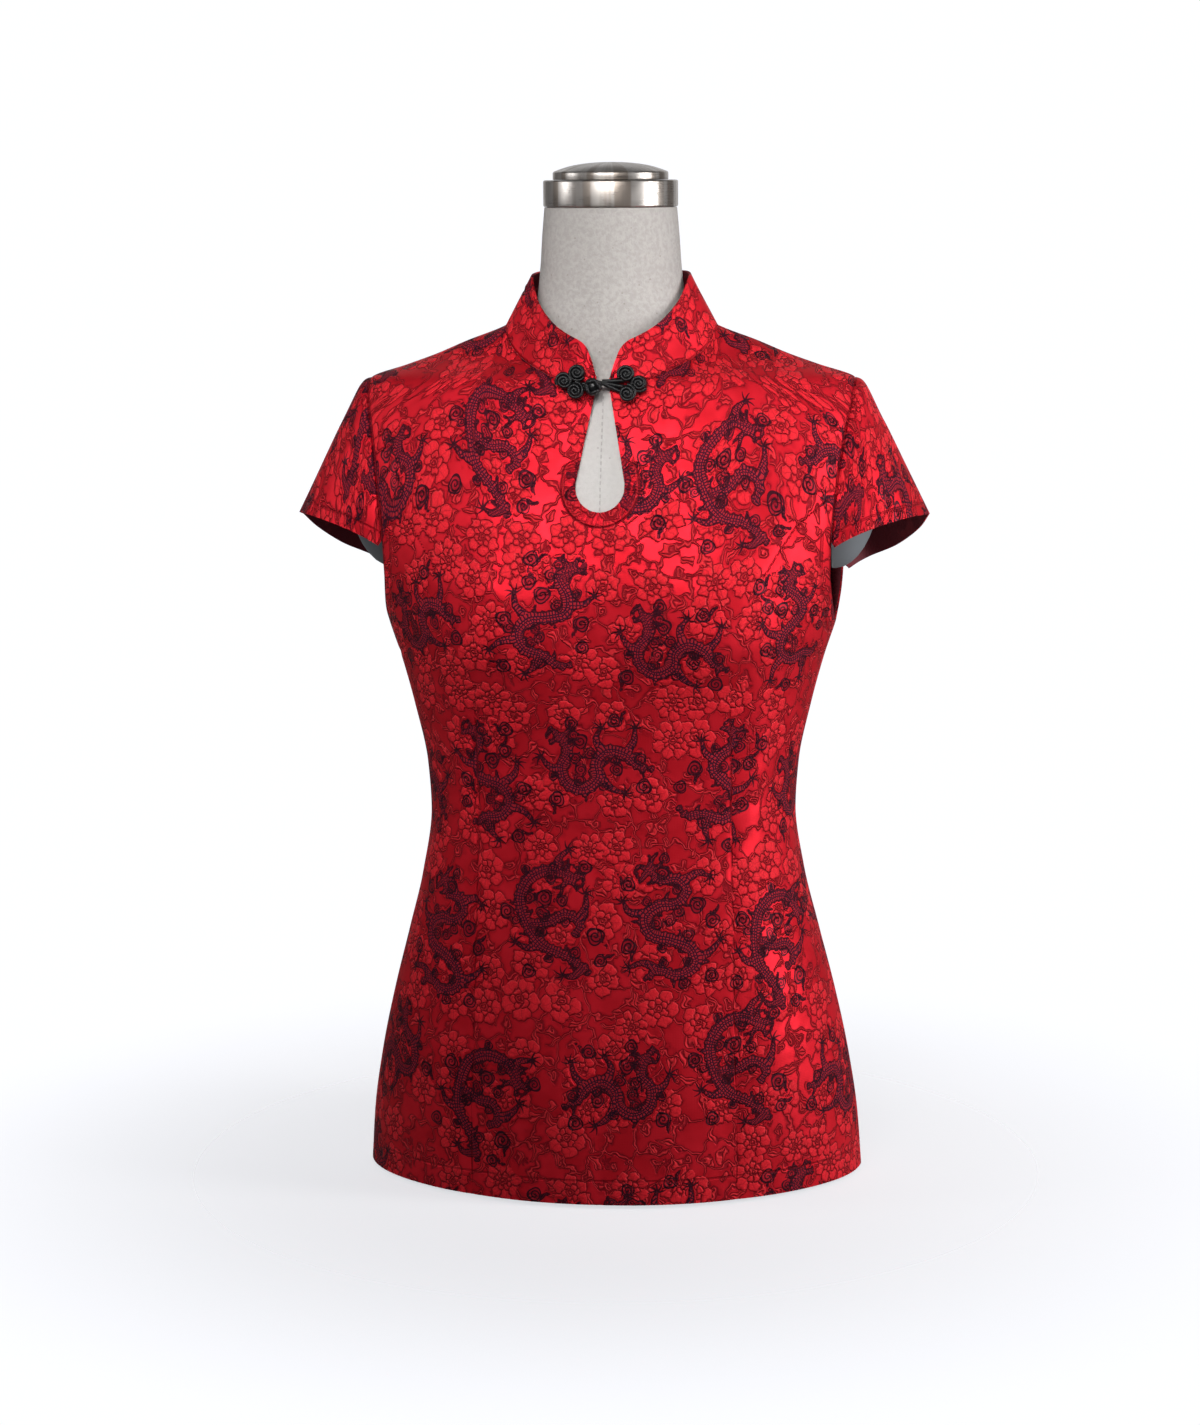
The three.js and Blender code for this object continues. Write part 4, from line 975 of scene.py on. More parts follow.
def ballParts(x, y, z, radius, deep, seed):
    # A ball wound from cord: one spiral over the front of a core.
    cord = frogSize["cord"]
    parts = [ballCore(x, y, z, radius - cord, deep - cord)]
    turns = radius / (2.15 * cord)
    t = np.linspace(0.02, 1, int(30 * turns) + 12)
    out = (radius - cord * 0.9) * t
    turn = seed + t * turns * 2 * math.pi
    rise = -deep * np.sqrt(np.clip(1 - (out / radius) ** 2, 0.0, 1)) + cord * 0.55
    parts.append(cordTube(np.stack([x + out * np.cos(turn), y + rise, z + out * np.sin(turn)], 1), cord))
    return parts


def buildFlower(name, balls):
    parts = []
    for k, (x, z, radius) in enumerate(balls):
        y = frogY(x, z) - radius * frogSize["flat"] - frogSize["ballOut"]
        parts += ballParts(x, y, z, radius, radius * frogSize["flat"], k * 2.1)
    middle = np.mean([(x, z) for x, z, _ in balls[:3]], axis=0)
    end = np.array([middle[0], frogY(*middle) - frogSize["tieMiddleOut"], middle[1]])
    share = np.linspace(0, 1, 8)[:, None]
    for x, z, _ in balls[:3]:  # cords that tie the balls together under them
        start = np.array([x, frogY(x, z) - frogSize["tieOut"], z])
        parts.append(cordTube(start + (end - start) * share, frogSize["cord"]))
    return joinParts(name, parts)


def buildButton():
    # The knotted ball: interlaced rounds of one cord over a core.
    size = buttonSize
    x, z, radius, deep = size["x"], size["z"], size["radius"], size["deep"]
    y = float(clothY(np.float64(8), np.float64(605), -1)) - size["out"]
    turn = np.linspace(0, 2 * math.pi, 190, endpoint=False)
    reach = size["wide"] + size["ripple"] * np.cos(turn * 9)
    lean = size["lean"] * np.sin(turn * 4)
    knot = np.stack([x + radius * reach * np.cos(turn * 3) * np.cos(lean),
                     y + deep * reach * np.sin(lean) * size["bulge"],
                     z + radius * reach * np.sin(turn * 3) * np.cos(lean)], 1)
    return joinParts("button_knot", [ballCore(x, y, z, radius - size["coreIn"], deep - size["coreIn"]),
                                     cordTube(knot, size["cord"], 8, True)])


def buildLoop():
    # A strap of three strands side by side, gathered to a point beside the button.
    y = float(clothY(np.float64(8), np.float64(606), -1)) - frogSize["loopOut"]
    parts = []
    for places in frogSize["strands"]:
        path = throughPoints([(x, z, frogSize["loopCord"]) for x, z in places], 0.8)
        line = np.stack([path[:, 0], y + 0 * path[:, 0], path[:, 1]], 1)
        parts.append(cordTube(line, path[:, 2] * frogSize["loopFlat"], 12))
    return joinParts("loop_cord", parts)


# Shader maths.
class Wire:  # a socket that can be added, multiplied and compared
    def __init__(self, paint, socket):
        self.paint, self.socket = paint, socket

    def of(self, output):  # another output of the same node
        return Wire(self.paint, self.socket.node.outputs[output])

    def math(self, operation, *others):
        return self.paint.node("ShaderNodeMath", {"operation": operation}, [self, *others])

    def flipped(self, operation, other):
        return self.paint.node("ShaderNodeMath", {"operation": operation}, [other, self])

    def __add__(self, other):
        return self.math("ADD", other)

    def __sub__(self, other):
        return self.math("SUBTRACT", other)

    def __rsub__(self, other):
        return self.flipped("SUBTRACT", other)

    def __mul__(self, other):
        return self.math("MULTIPLY", other)

    def __truediv__(self, other):
        return self.math("DIVIDE", other)

    def __rtruediv__(self, other):
        return self.flipped("DIVIDE", other)

    def __lt__(self, other):
        return self.math("LESS_THAN", other)

    def __gt__(self, other):
        return self.math("GREATER_THAN", other)

    def __abs__(self):
        return self.math("ABSOLUTE")

    __radd__ = __add__
    __rmul__ = __mul__

    def least(self, other):
        return self.math("MINIMUM", other)

    def most(self, other):
        return self.math("MAXIMUM", other)

    def rise(self, low, high):  # 0 below low, 1 above high, smooth between them
        return self.paint.node("ShaderNodeMapRange", {"interpolation_type": "SMOOTHSTEP"},
                               [self, low, high, 0.0, 1.0])

    def line(self, half, soft):  # 1 on the zero of a signed distance, for half its width each side
        return 1 - abs(self).rise(half, half + soft)


class Paint:  # one material, and the only way in which its nodes are made
    def __init__(self, name, **constants):
        self.material = bpy.data.materials.new(name)
        self.material.use_nodes = True
        self.tree = self.material.node_tree
        self.shader = self.tree.nodes["Principled BSDF"]
        for key, value in constants.items():
            self.shader.inputs[key.replace("_", " ")].default_value = value

    def node(self, kind, settings=None, sockets=(), output=0):
        made = self.tree.nodes.new(kind)
        for key, value in (settings or {}).items():
            setattr(made, key, value)
        for key, value in (sockets.items() if isinstance(sockets, dict) else enumerate(sockets)):
            if isinstance(value, Wire):
                self.tree.links.new(value.socket, made.inputs[key])
            else:
                made.inputs[key].default_value = value
        return Wire(self, made.outputs[output])

    def attribute(self, name, output="Fac"):
        return self.node("ShaderNodeAttribute", {"attribute_name": name}, output=output)

    def vector(self, x, y, z=0.0):
        return self.node("ShaderNodeCombineXYZ", None, [x, y, z])

    def parts(self, vector):
        split = self.node("ShaderNodeSeparateXYZ", None, [vector])
        return split, split.of("Y"), split.of("Z")

    def shift(self, vector, operation, other):
        return self.node("ShaderNodeVectorMath", {"operation": operation}, [vector, other])

    def colour(self, share, low, high):
        return self.node("ShaderNodeMix", {"data_type": "RGBA"}, {0: share, 6: low, 7: high}, 2)

    def noise(self, vector, scale, detail=2.0, rough=0.5, dimensions="3D"):
        return self.node("ShaderNodeTexNoise", {"noise_dimensions": dimensions},
                         {"Vector": vector, "Scale": scale, "Detail": detail, "Roughness": rough})

    def cells(self, vector, scale, randomness=1.0, feature="F1", dimensions="2D"):
        return self.node("ShaderNodeTexVoronoi", {"voronoi_dimensions": dimensions, "feature": feature},
                         {"Vector": vector, "Scale": scale, "Randomness": randomness})

    def finish(self, height=None, strength=1.0, distance=0.001, **links):
        for key, value in links.items():
            self.tree.links.new(value.socket, self.shader.inputs[key.replace("_", " ")])
        if height is not None:
            bump = self.node("ShaderNodeBump", None,
                             {"Strength": strength, "Distance": distance, "Height": height})
            self.tree.links.new(bump.socket, self.shader.inputs["Normal"])
        return self.material


# Colours of the brocade, among them a painted highlight for the rims of raised shapes and a painted shade for
# the edges of its petals, with the spacing of its flowers, leaves and vines and its drawn line in mm.
brocade = {"ground": (0.62, 0.014, 0.026, 1), "groundDeep": (0.52, 0.010, 0.019, 1),
           "raised": (0.71, 0.020, 0.031, 1), "raisedEdgeShade": (0.53, 0.012, 0.021, 1),
           "outline": (0.19, 0.004, 0.010, 1), "paintedRimHighlight": (0.95, 0.07, 0.078, 1),
           "dragonDark": (0.026, 0.007, 0.019, 1), "dragonLight": (0.36, 0.016, 0.026, 1),
           "ink": (0.012, 0.005, 0.011, 1), "seam": (0.16, 0.003, 0.008, 1),
           "flowerCell": 33, "leafCell": 14.6, "vineCell": 24, "line": 0.55}
fullTurn = 2 * math.pi


def strayed(paint, place, scale, far):  # a place moved about by soft noise, by up to half of far
    drift = paint.shift(paint.noise(place, scale, 1.0, 0.5, "2D").of("Color"), "SUBTRACT", (0.5, 0.5, 0.5))
    return paint.shift(place, "ADD", paint.shift(drift, "MULTIPLY", (far, far, 0)))


def localPlace(paint, place, cell, randomness):
    # Where a point stands from the middle of its own cell, in mm, with three random numbers of the cell.
    found = paint.cells(place, 1 / cell, randomness)
    offset = paint.shift(place, "SUBTRACT", found.of("Position"))
    x, y, _ = paint.parts(offset)
    first, second, third = paint.parts(found.of("Color"))
    return x, y, first, second, third


def petalRing(x, y, count, reach, turn, scallop):
    # Distance in from the outline of a ring of petals, to the line between two, out from the flower's
    # middle, and to the middle line of a petal.
    angle = y.math("ARCTAN2", x) + turn
    share = (angle * count / fullTurn).math("FRACT")
    off = abs(share - 0.5) * 2  # 0 in the middle of a petal, 1 between two
    radius = (x * x + y * y).math("SQRT")
    outline = reach * (1 - scallop * off * off) - radius
    between = (1 - off) * radius * math.pi / count
    return outline, between, radius, off * radius * math.pi / count


def brocadeMaterial():
    paint = Paint("red brocade", Metallic=0.0, Roughness=0.4, Specular_IOR_Level=0.25,
                  Specular_Tint=(1, 0.16, 0.2, 1))
    uv = paint.node("ShaderNodeUVMap", {"uv_map": "cut"})
    u, v, _ = paint.parts(uv)
    dart, take = paint.attribute("dart"), paint.attribute("take")
    u = u * 1000 + take * (dart > 0)
    v = v * 1000
    place = paint.vector(u, v)
    motif, stitch = paint.attribute("motif"), paint.attribute("stitch")
    edge, seamAndShadowLine = paint.attribute("edge"), paint.attribute("seamAndShadowLine")
    line = brocade["line"]
    grain = paint.noise(place, 0.8, 1.0, 0.5, "2D")
    warped = strayed(paint, place, 0.09, 13)

    # flowers: an outer and an inner ring of petals round a ringed middle
    ruffled = strayed(paint, place, 0.2, 3.8)
    x, flowerY, first, big, third = localPlace(paint, ruffled, brocade["flowerCell"], 0.72)
    petals = (first * 3.99).math("FLOOR") + 5
    reach = 12 + big * 4.5
    turn = third * 6.28
    outer, outerGap, radius, vein = petalRing(x, flowerY, petals, reach, turn, 0.24)
    inner, innerGap, _, _ = petalRing(x, flowerY, petals, reach * 0.5, turn + 0.5, 0.3)
    centre = reach * 0.2 - radius
    blooms = big > 0.16
    inFlower = (outer > 0) * blooms
    inInner = inner > 0
    inCentre = centre > 0
    petalGap = outer.least(outerGap).least(-1 * inner)
    veinLine = (1 - inInner) * outer.rise(1.2, 2.6) * (1 - vein.rise(0.1, 0.55))
    flowerGap = inInner * (inner.least(innerGap)) + (1 - inInner) * petalGap
    centreGap = abs(centre - reach * 0.11).least(centre)
    flowerGap = inCentre * centreGap + (1 - inCentre) * flowerGap.least(-1 * centre)

    # leaves and curls between the flowers
    x, y, first, second, third = localPlace(paint, warped, brocade["leafCell"], 0.85)
    turn = first * 6.28
    across = x * turn.math("COSINE") + y * turn.math("SINE")
    upward = y * turn.math("COSINE") - x * turn.math("SINE")
    length = 4.6 + second * 3.4
    width = length * 0.44
    leaf = width * (1 - (across / length) * (across / length)) - abs(upward)
    leafGap = leaf.least(abs(upward) + 0.12)
    radius = (x * x + y * y).math("SQRT")
    spiral = ((y.math("ARCTAN2", x) / fullTurn + radius / 2.7 + turn).math("FRACT") - 0.5) * 2.7
    curl = (4.2 - radius).least(1.1 - abs(spiral))
    isCurl = third > 0.56
    small = isCurl * curl + (1 - isCurl) * leaf
    smallGap = isCurl * curl + (1 - isCurl) * leafGap
    present = second > 0.12

    # vines run along the borders of large warped cells
    vine = 1.05 - paint.cells(warped, 1 / brocade["vineCell"], 1.0, "DISTANCE_TO_EDGE") * brocade["vineCell"]
    vineGap = vine * 0.8

    inSmall = (small > 0) * present * (1 - inFlower)
    inVine = (vine > 0) * (1 - inSmall) * (1 - inFlower)
    inside = inFlower + inSmall + inVine
    gap = inFlower * flowerGap + inSmall * smallGap + inVine * vineGap
    beyond = (-1 * outer + (1 - blooms) * 9).least(-1 * small + (1 - present) * 9).least(-1 * vine)
    away = motif.rise(1.4, 2.2)
    clear = inside * away
    outlines = inside * (1 - gap.rise(line * 0.55, line * 1.25)) + (1 - inside) * (1 - beyond.rise(0.0, line))
    outlines = outlines * away
    dome = clear * (1 - 1 / (1 + gap.most(0) * gap.most(0) * 1.6))
    weave = (v * 5.2).math("SINE") * 0.5 + (u * 5.2).math("SINE") * 0.5

    # dragons: a scaled body with a belly of plates inside a dark ragged outline
    ragged = motif + (grain - 0.5) * 0.9 + (paint.noise(place, 0.32, 1.0, 0.5, "2D") - 0.5) * 1.0
    body = 1 - ragged.rise(-0.12, 0.12)
    rim = ragged.line(0.45, 0.3)
    along, share, _ = paint.parts(paint.attribute("scales", "Vector"))
    net = paint.cells(paint.vector(along, share * 4.6), 1 / 2.7, 0.45, "DISTANCE_TO_EDGE") * 2.7
    plates = abs((along / 2.6).math("FRACT") - 0.5) * 2.6
    belly = (share > 0.28) * (share < 1.1)
    bellyLine = (share - 0.28).line(0.06, 0.1)
    scaleLight = (belly * plates.rise(0.25, 0.8) + (1 - belly) * net.rise(0.22, 0.75)) * (1 - bellyLine)

    # cloud scrolls: a lobed outline round a spiral, in the units of its own radius
    sx, sy, scrollGap = paint.parts(paint.attribute("scroll", "Vector"))
    fromMiddle = (sx * sx + sy * sy).math("SQRT")
    swing = sy.math("ARCTAN2", sx) / fullTurn
    lobes = 1.0 + (swing * 6 * math.pi).math("SINE") * 0.1 - fromMiddle
    coil = abs((fromMiddle / 0.48 - swing).math("FRACT") - 0.5) * 0.48
    inScroll = (lobes > -0.08) * (scrollGap < 1.4)
    scrollInk = inScroll * (1 - (coil.least(abs(lobes - 0.02))).rise(0.07, 0.14))

    # paws: five thin toes round the heading of the leg
    px, py, pawGap = paint.parts(paint.attribute("paw", "Vector"))
    toeRun = (px * px + py * py).math("SQRT")
    toeTurn = py.math("ARCTAN2", px) + toeRun * 0.05
    toeOff = ((toeTurn / 0.78 + 0.5).math("FRACT") - 0.5) * 0.78
    toe = 1.25 - toeRun * 0.1 - abs(toeOff.math("SINE") * toeRun)
    pawInk = toe.rise(-0.1, 0.25) * (abs(toeTurn) < 1.95) * (toeRun < 8.6) * (pawGap < 1.0)
    drawn = scrollInk.most(pawInk)

    cloud = paint.noise(place, 0.035, 2.0, 0.5, "2D")
    ground = paint.colour(cloud.rise(0.3, 0.7), brocade["groundDeep"], brocade["ground"])
    # petals lighter in their middles and darker towards their edges, broken by the grain: painted shade on
    # the sloping sides of the raised domes
    petal = paint.colour(gap.rise(0.4, 2.2) * (0.4 + grain.rise(0.3, 0.75) * 0.6), brocade["raisedEdgeShade"],
                         brocade["raised"])
    # the ground darker close beside each raised shape, in the outline colour: painted shadow of the relief
    ground = paint.colour((1 - inside) * (1 - beyond.rise(0.2, 2.6)) * 0.34, ground, brocade["outline"])
    petal = paint.colour(inFlower * veinLine * 0.4, petal, brocade["outline"])
    # a light line just inside the outline of each raised shape, stronger on the upper side of a flower: a
    # painted highlight along the relief
    paintedRimHighlight = (gap - 1.25 * line).line(0.2, 0.5) * (0.5 + inFlower * flowerY / reach * 0.5)
    petal = paint.colour(paintedRimHighlight * 0.42, petal, brocade["paintedRimHighlight"])
    shade = paint.colour(clear, ground, petal)
    shade = paint.colour(outlines * 0.85, shade, brocade["outline"])
    dragon = paint.colour(scaleLight, brocade["dragonDark"], brocade["dragonLight"])
    shade = paint.colour(inScroll * 0.35, shade, brocade["dragonDark"])
    shade = paint.colour(body, shade, dragon)
    shade = paint.colour((rim * 0.85).most(drawn * 0.95), shade, brocade["ink"])

    # sewing: a soft trough along each stitch line with the stitches in it, the trough darkened as painted
    # shade, and the dart seams drawn as dark lines with painted shadow beside them
    spot = ((u + v) * 0.42).math("FRACT")
    thread = stitch.line(0.28, 0.25) * (spot > 0.3)
    trough = stitch.line(0.3, 1.1)
    seam = seamAndShadowLine.line(0.3, 0.65)
    # the trough darkened as painted shade, the stitches as dark thread
    shade = paint.colour(trough * 0.32 + thread * 0.2, shade, brocade["outline"])
    # dark seam lines of the darts, armholes, sleeves and collar: the seams themselves with painted shadow
    # beside them, widest at the collar's base
    shade = paint.colour(seam * 0.55, shade, brocade["seam"])
    objectPlace = paint.node("ShaderNodeTexCoord", None, (), "Object")
    ox, _, oz = paint.parts(objectPlace)
    spoke = (oz - garment["keyhole"] * mm).math("ARCTAN2", ox)
    gathers = paint.noise(paint.vector(spoke * 1.9, edge * 0.02), 5.0, 2.0, 0.6, "2D")
    band = 1 - edge.rise(9.5, 11)
    ridge = (edge - 10.8).line(0.3, 0.6)
    # the turned band round the keyhole darkened in stripes that follow the relief of its gathers: painted
    # shade in their folds
    shade = paint.colour(band * gathers.rise(0.42, 0.66) * 0.6, shade, brocade["outline"])
    # a dark line just outside the raised edge of the turned band and a light line just inside it: painted
    # shade and a painted highlight along that step
    shade = paint.colour(ridge * 0.6, shade, brocade["outline"])
    shade = paint.colour((edge - 9.4).line(0.3, 0.5) * 0.5, shade, brocade["raised"])

    matte = clear.most(body).most(drawn).most(outlines)
    rough = 0.42 + clear * 0.14 + body * 0.24 + outlines * 0.1 + grain * 0.08
    metal = 0.48 - matte * 0.35
    height = dome * 0.5 - outlines * 0.24 + body * 0.14 + body * scaleLight * 0.14
    height = height - rim * 0.12 + inScroll * 0.1
    height = height + weave * 0.008 + cloud * 0.3 - trough * 0.3 - seam * 0.45
    height = height + (1 - edge.rise(9.6, 10.6)) * 0.45 + band * gathers * 0.8
    return paint.finish(height, 1.0, 0.0024, Base_Color=shade, Roughness=rough, Metallic=metal)


def wrongSideMaterial():
    paint = Paint("wrong side of the brocade", Roughness=0.7)
    uv = paint.node("ShaderNodeUVMap", {"uv_map": "cut"})
    u, v, _ = paint.parts(uv)
    place = paint.vector(u * 1000, v * 1000)
    motif = paint.attribute("motif")
    grain = paint.noise(place, 1.1, 3.0, 0.6, "2D")
    floats = (v * 2600).math("SINE") * 0.5 + 0.5
    shade = paint.colour(grain, (0.10, 0.004, 0.012, 1), (0.19, 0.008, 0.02, 1))
    shade = paint.colour((1 - motif.rise(-0.5, 0.5)) * 0.6, shade, (0.26, 0.02, 0.03, 1))
    return paint.finish(grain * 0.4 + floats * 0.12, 0.7, 0.001, Base_Color=shade)


def linenMaterial():
    paint = Paint("pale linen of the form", Roughness=0.86)
    place = paint.node("ShaderNodeTexCoord", None, (), "Object")
    x, y, z = paint.parts(place)
    bent = paint.shift(place, "ADD", paint.shift(paint.noise(place, 130.0).of("Color"), "MULTIPLY",
                                                 (0.005, 0.005, 0.005)))
    felt = paint.noise(bent, 300.0, 3.0, 0.6)
    thread = paint.noise(paint.shift(place, "MULTIPLY", (2.6, 2.6, 1)), 520.0, 2.0, 0.6)
    cloud = paint.noise(place, 22.0, 3.0, 0.55)
    speck = paint.cells(place, 120.0, 1.0, "F1", "3D")
    dot = 1 - speck.rise(0.05, 0.12)
    shade = paint.colour(felt.rise(0.34, 0.66), (0.345, 0.324, 0.309, 1), (0.415, 0.393, 0.377, 1))
    shade = paint.colour(cloud.rise(0.3, 0.75) * 0.3, shade, (0.36, 0.34, 0.325, 1))
    # lighter below the neck, where the form shows through the keyhole: painted light
    shade = paint.colour((1 - z.rise(0.594, 0.608)) * 0.5, shade, (0.58, 0.57, 0.56, 1))
    shade = paint.colour(dot * 0.4, shade, (0.16, 0.13, 0.11, 1))
    stitchRow = (z * 1000 / 4.6).math("FRACT")
    low = (y < 0.0) * (z < 0.604)
    sewn = (x * 1000).line(0.35, 0.4) * low * (stitchRow > 0.42)
    shade = paint.colour(sewn * 0.4, shade, (0.2, 0.18, 0.17, 1))
    centreSeam = (x * 1000).line(0.2, 0.6) * low
    height = felt * 0.8 + thread * 0.4 + cloud * 0.3 - centreSeam * 0.35
    return paint.finish(height, 0.7, 0.0008, Base_Color=shade)


def steelMaterial():
    paint = Paint("brushed steel of the neck cap", Metallic=0.9, Roughness=0.2)
    place = paint.node("ShaderNodeTexCoord", None, (), "Object")
    x, y, z = paint.parts(place)
    lines = paint.noise(paint.vector(x * 30, (y - capSize["y"] * mm) * 30, z * 6000), 1.0, 3.0, 0.6)
    smudge = paint.noise(place, 60.0, 2.0, 0.5)
    shade = paint.colour(lines, (0.37, 0.34, 0.315, 1), (0.53, 0.50, 0.475, 1))
    # brownish-dark vertical bands round the cap: painted reflections of a room
    swing = (y - capSize["y"] * mm).math("ARCTAN2", x)
    paintedReflectionBands = paint.noise(paint.vector(swing * 3.4, 0.0), 1.0, 2.0, 0.6, "2D")
    shade = paint.colour(paintedReflectionBands.rise(0.46, 0.58) * 0.7, shade, (0.22, 0.175, 0.14, 1))
    rough = 0.2 + lines * 0.16 + smudge.rise(0.4, 0.8) * 0.1
    return paint.finish(lines, 0.12, 0.0004, Base_Color=shade, Roughness=rough)


def plateMaterial():
    paint = Paint("grey plastic of the arm plates", Roughness=0.42)
    place = paint.node("ShaderNodeTexCoord", None, (), "Object")
    cloud = paint.noise(place, 24.0, 3.0, 0.55)
    pit = paint.noise(place, 900.0, 2.0, 0.5)
    shade = paint.colour(cloud, (0.155, 0.168, 0.183, 1), (0.20, 0.213, 0.23, 1))
    return paint.finish(pit * 0.5 + cloud, 0.25, 0.0004, Base_Color=shade, Roughness=0.36 + cloud * 0.2)


def cordMaterial():
    paint = Paint("black satin cord", Roughness=0.55, Specular_IOR_Level=0.3)
    uv = paint.node("ShaderNodeUVMap", {"uv_map": "cord"})
    along, around, _ = paint.parts(uv)
    place = paint.node("ShaderNodeTexCoord", None, (), "Object")
    twist = (along * 5.4 + around * 6.283 * 2).math("SINE") * 0.5 + 0.5
    fuzz = paint.noise(place, 1800.0, 2.0, 0.6)
    # the cord lighter on the crests of its twist and darker in the grooves, broken by the fuzz: painted
    # highlight and shade
    shade = paint.colour(twist * fuzz.rise(0.3, 0.8), (0.002, 0.002, 0.0025, 1), (0.012, 0.013, 0.014, 1))
    return paint.finish(twist * 0.4 + fuzz * 0.1, 0.7, 0.0004, Base_Color=shade, Roughness=0.27 + fuzz * 0.14)


# Camera, light and ground.
cameraSet = {"turn": 5.0, "distance": 2.5, "height": 0.764, "down": 9.33, "roll": 0.35,
             "focalPixels": 3333, "imageWidth": 1200, "imageHeight": 1425, "bodyPixel": 613}


def aim(thing, eye, forward, upward):
    right = forward.cross(upward).normalized()
    upward = right.cross(forward).normalized()
    turned = Matrix((right, upward, -forward)).transposed().to_4x4()
    turned.translation = eye
    thing.matrix_world = turned


def makeCamera():
    size = cameraSet
    turn, down, roll = (math.radians(size[key]) for key in ("turn", "down", "roll"))
    eye = Vector((size["distance"] * math.sin(turn), -size["distance"] * math.cos(turn), size["height"]))
    right = Vector((math.cos(turn), math.sin(turn), 0))
    level = Vector((-math.sin(turn), math.cos(turn), 0))
    forward = level * math.cos(down) - Vector((0, 0, math.sin(down)))
    upward = right.cross(forward) * math.cos(roll) + right * math.sin(roll)
    data = bpy.data.cameras.new("camera")
    data.sensor_width = 36
    data.lens = 36 * size["focalPixels"] / size["imageHeight"]
    data.shift_x = (size["imageWidth"] / 2 - size["bodyPixel"]) / size["imageHeight"]
    camera = bpy.data.objects.new("camera", data)
    bpy.context.scene.collection.objects.link(camera)
    aim(camera, eye, forward, upward)
    bpy.context.scene.camera = camera


worldLight = {"tint": (0.95, 0.96, 1, 1), "asLight": 0.13, "behind": 1.05}
lamps = {  # where each lamp stands, what it looks at, its size, spread, power and colour
    "key": {"at": (-0.03, -0.88, 1.0), "to": (0, -0.05, 0.57), "size": (0.55, 0.3),
            "spread": 60, "power": 1.38, "tint": (1, 0.985, 0.97)},
    "top": {"at": (0, -0.2, 2.0), "to": (0, 0, 0.5), "size": (0.8, 0.8),
            "spread": 180, "power": 0.3, "tint": (1, 1, 1)},
    "front fill": {"at": (-0.9, -2.4, 0.9), "to": (0, 0, 0.5), "size": (1.6, 1.6),
                   "spread": 180, "power": 2.5, "tint": (0.98, 0.99, 1)},
    "left strip": {"at": (1.38, -0.3, 0.6), "to": (0.1, 0, 0.45), "size": (0.35, 1.2),
                   "spread": 180, "power": 18.5, "tint": (1, 1, 1)},
    "right strip": {"at": (-1.2, -0.25, 0.95), "to": (-0.2, 0, 0.54), "size": (0.35, 0.5),
                    "spread": 180, "power": 3, "tint": (1, 1, 1)},
    "back wall": {"at": (0, 2.3, 1.0), "to": (0, 0, 0.6), "size": (3.4, 2.2),
                  "spread": 180, "power": 15, "tint": (1, 1, 1)},
}


def makeLamps():
    for name, lamp in lamps.items():
        data = bpy.data.lights.new(name, "AREA")
        data.shape, data.size, data.size_y = "RECTANGLE", *lamp["size"]
        data.energy, data.color, data.spread = lamp["power"], lamp["tint"], math.radians(lamp["spread"])
        thing = bpy.data.objects.new(name, data)
        thing.visible_camera = False
        bpy.context.scene.collection.objects.link(thing)
        eye = Vector(lamp["at"])
        aim(thing, eye, (Vector(lamp["to"]) - eye).normalized(), Vector((0, 0, 1)))
    world = bpy.data.worlds.new("studio")
    bpy.context.scene.world = world
    world.use_nodes = True
    sky = world.node_tree.nodes["Background"]
    sky.inputs["Color"].default_value = worldLight["tint"]
    rays = world.node_tree.nodes.new("ShaderNodeLightPath")  # white behind the object, dim as a light
    strength = world.node_tree.nodes.new("ShaderNodeMapRange")
    strength.inputs["To Min"].default_value = worldLight["asLight"]
    strength.inputs["To Max"].default_value = worldLight["behind"]
    world.node_tree.links.new(rays.outputs["Is Camera Ray"], strength.inputs["Value"])
    world.node_tree.links.new(strength.outputs["Result"], sky.inputs["Strength"])


groundSize = {"whole": 0.2, "gone": 0.62, "half": 3.0, "cover": 0.34}


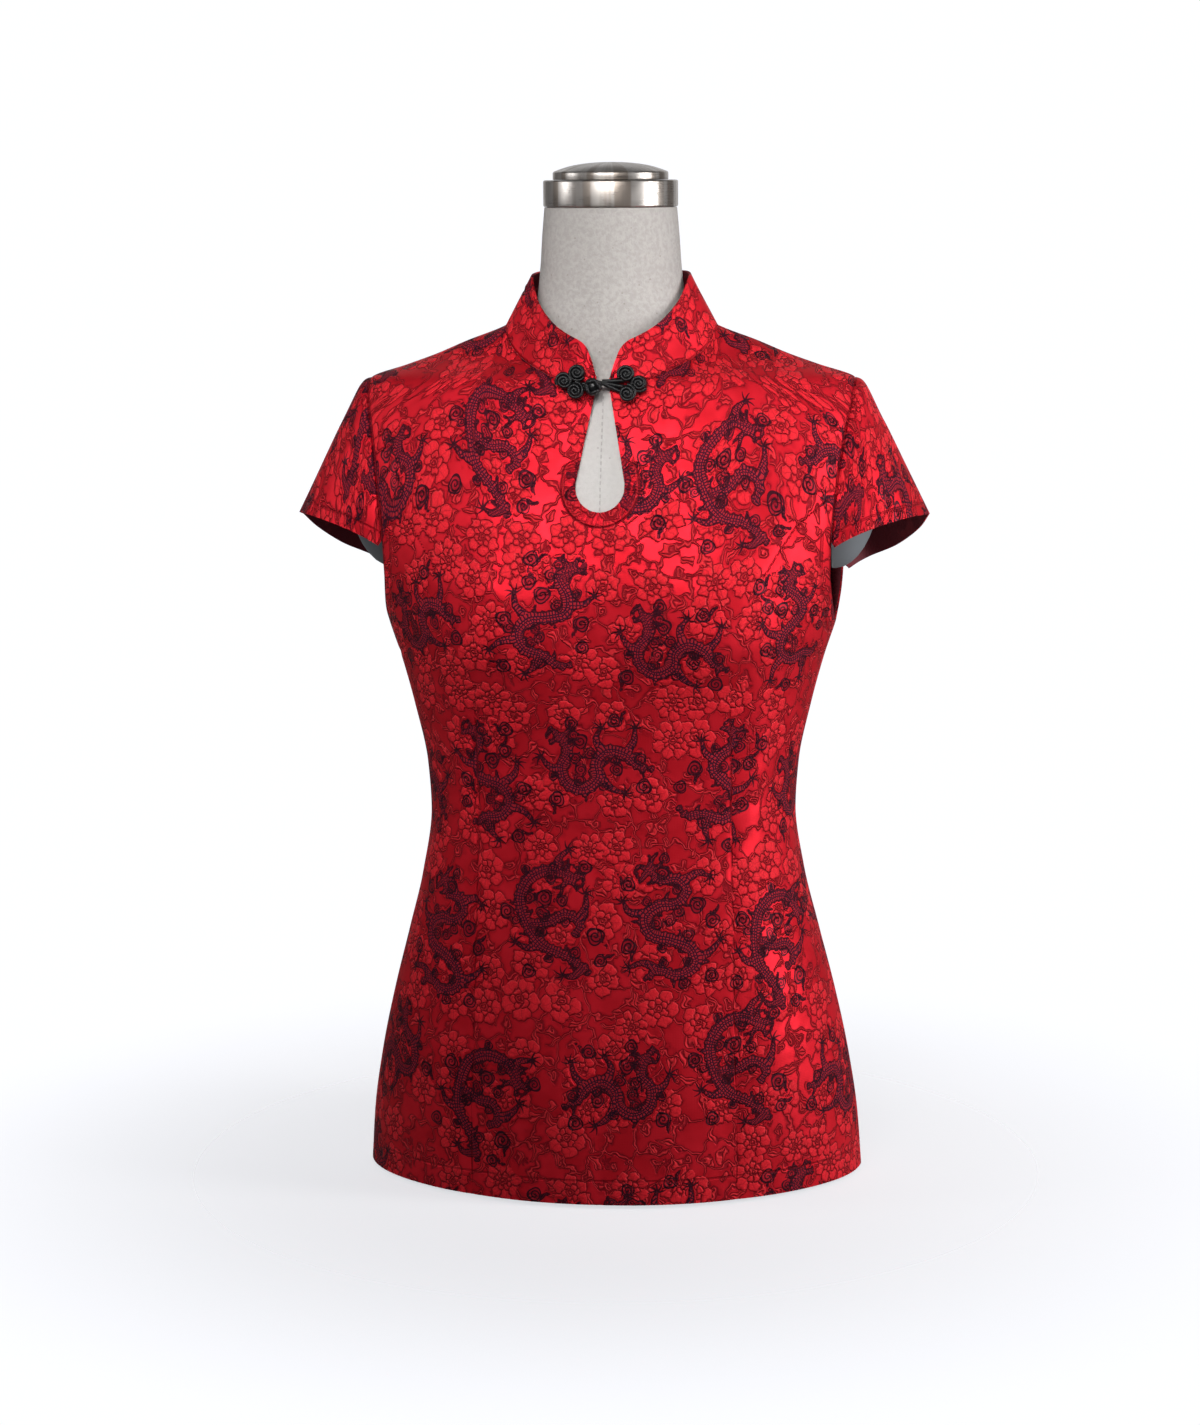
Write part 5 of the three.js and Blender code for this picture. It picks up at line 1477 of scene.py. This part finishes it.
def makeGround():
    # A pale floor that fades into the white round it, so that no horizon shows.
    bpy.ops.mesh.primitive_plane_add(size=groundSize["half"] * 2, location=(0, 0, 0))
    floor = bpy.context.object
    floor.name = "studio_floor"
    paint = Paint("studio floor", Roughness=0.85)
    place = paint.node("ShaderNodeTexCoord", None, (), "Object")
    x, y, _ = paint.parts(place)
    cloud = paint.noise(place, 1.4, 2.0, 0.5)
    shade = paint.colour(cloud, (0.90, 0.90, 0.895, 1), (0.93, 0.93, 0.93, 1))
    near = 1 - (x * x + y * y).math("SQRT").rise(groundSize["whole"], groundSize["gone"])
    floor.data.materials.append(paint.finish(Base_Color=shade, Alpha=near * groundSize["cover"]))
    floor.select_set(False)


# Putting it together.
bpy.context.scene.view_settings.view_transform = "Standard"
makeCamera()
makeLamps()
makeGround()
print("camera, lamps and floor are set")


def setPiece(piece, node, slot, *materials):
    for material in materials:
        piece.data.materials.append(material)
    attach(piece, "root")
    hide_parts(node)


rightSide, wrongSide = brocadeMaterial(), wrongSideMaterial()
for name, made in (("front", lambda: buildPanel("front", -1, frontCreases)),
                   ("back", lambda: buildPanel("back", 1, backCreases)),
                   ("sleeve_left", lambda: buildSleeve("sleeve_left", 1)),
                   ("sleeve_right", lambda: buildSleeve("sleeve_right", -1)),
                   ("collar", buildCollar)):
    piece, area = made()
    setPiece(piece, name, "brocade", rightSide, wrongSide)
    print(name, "cloth of", round(area, 4), "square metres is made")

setPiece(buildForm(), "form_torso", "linen", linenMaterial())
steel = steelMaterial()
setPiece(buildCapRing(), "neck_cap_ring", "steel", steel)
setPiece(buildCapTop(), "neck_cap_top", "steel", steel)
plate = plateMaterial()
for node, hand in (("arm_plate_left", 1), ("arm_plate_right", -1)):
    setPiece(buildArmPlate(node + "_cover", hand), node, "plate", plate)
print("the dress form is made")

cord = cordMaterial()
for node, piece in (("frog_flower_right", buildFlower("flower_right", frogSize["right"])),
                    ("frog_flower_left", buildFlower("flower_left", frogSize["left"])),
                    ("frog_button", buildButton()), ("frog_loop", buildLoop())):
    setPiece(piece, node, "cord", cord)
print("the frog fastening is made")
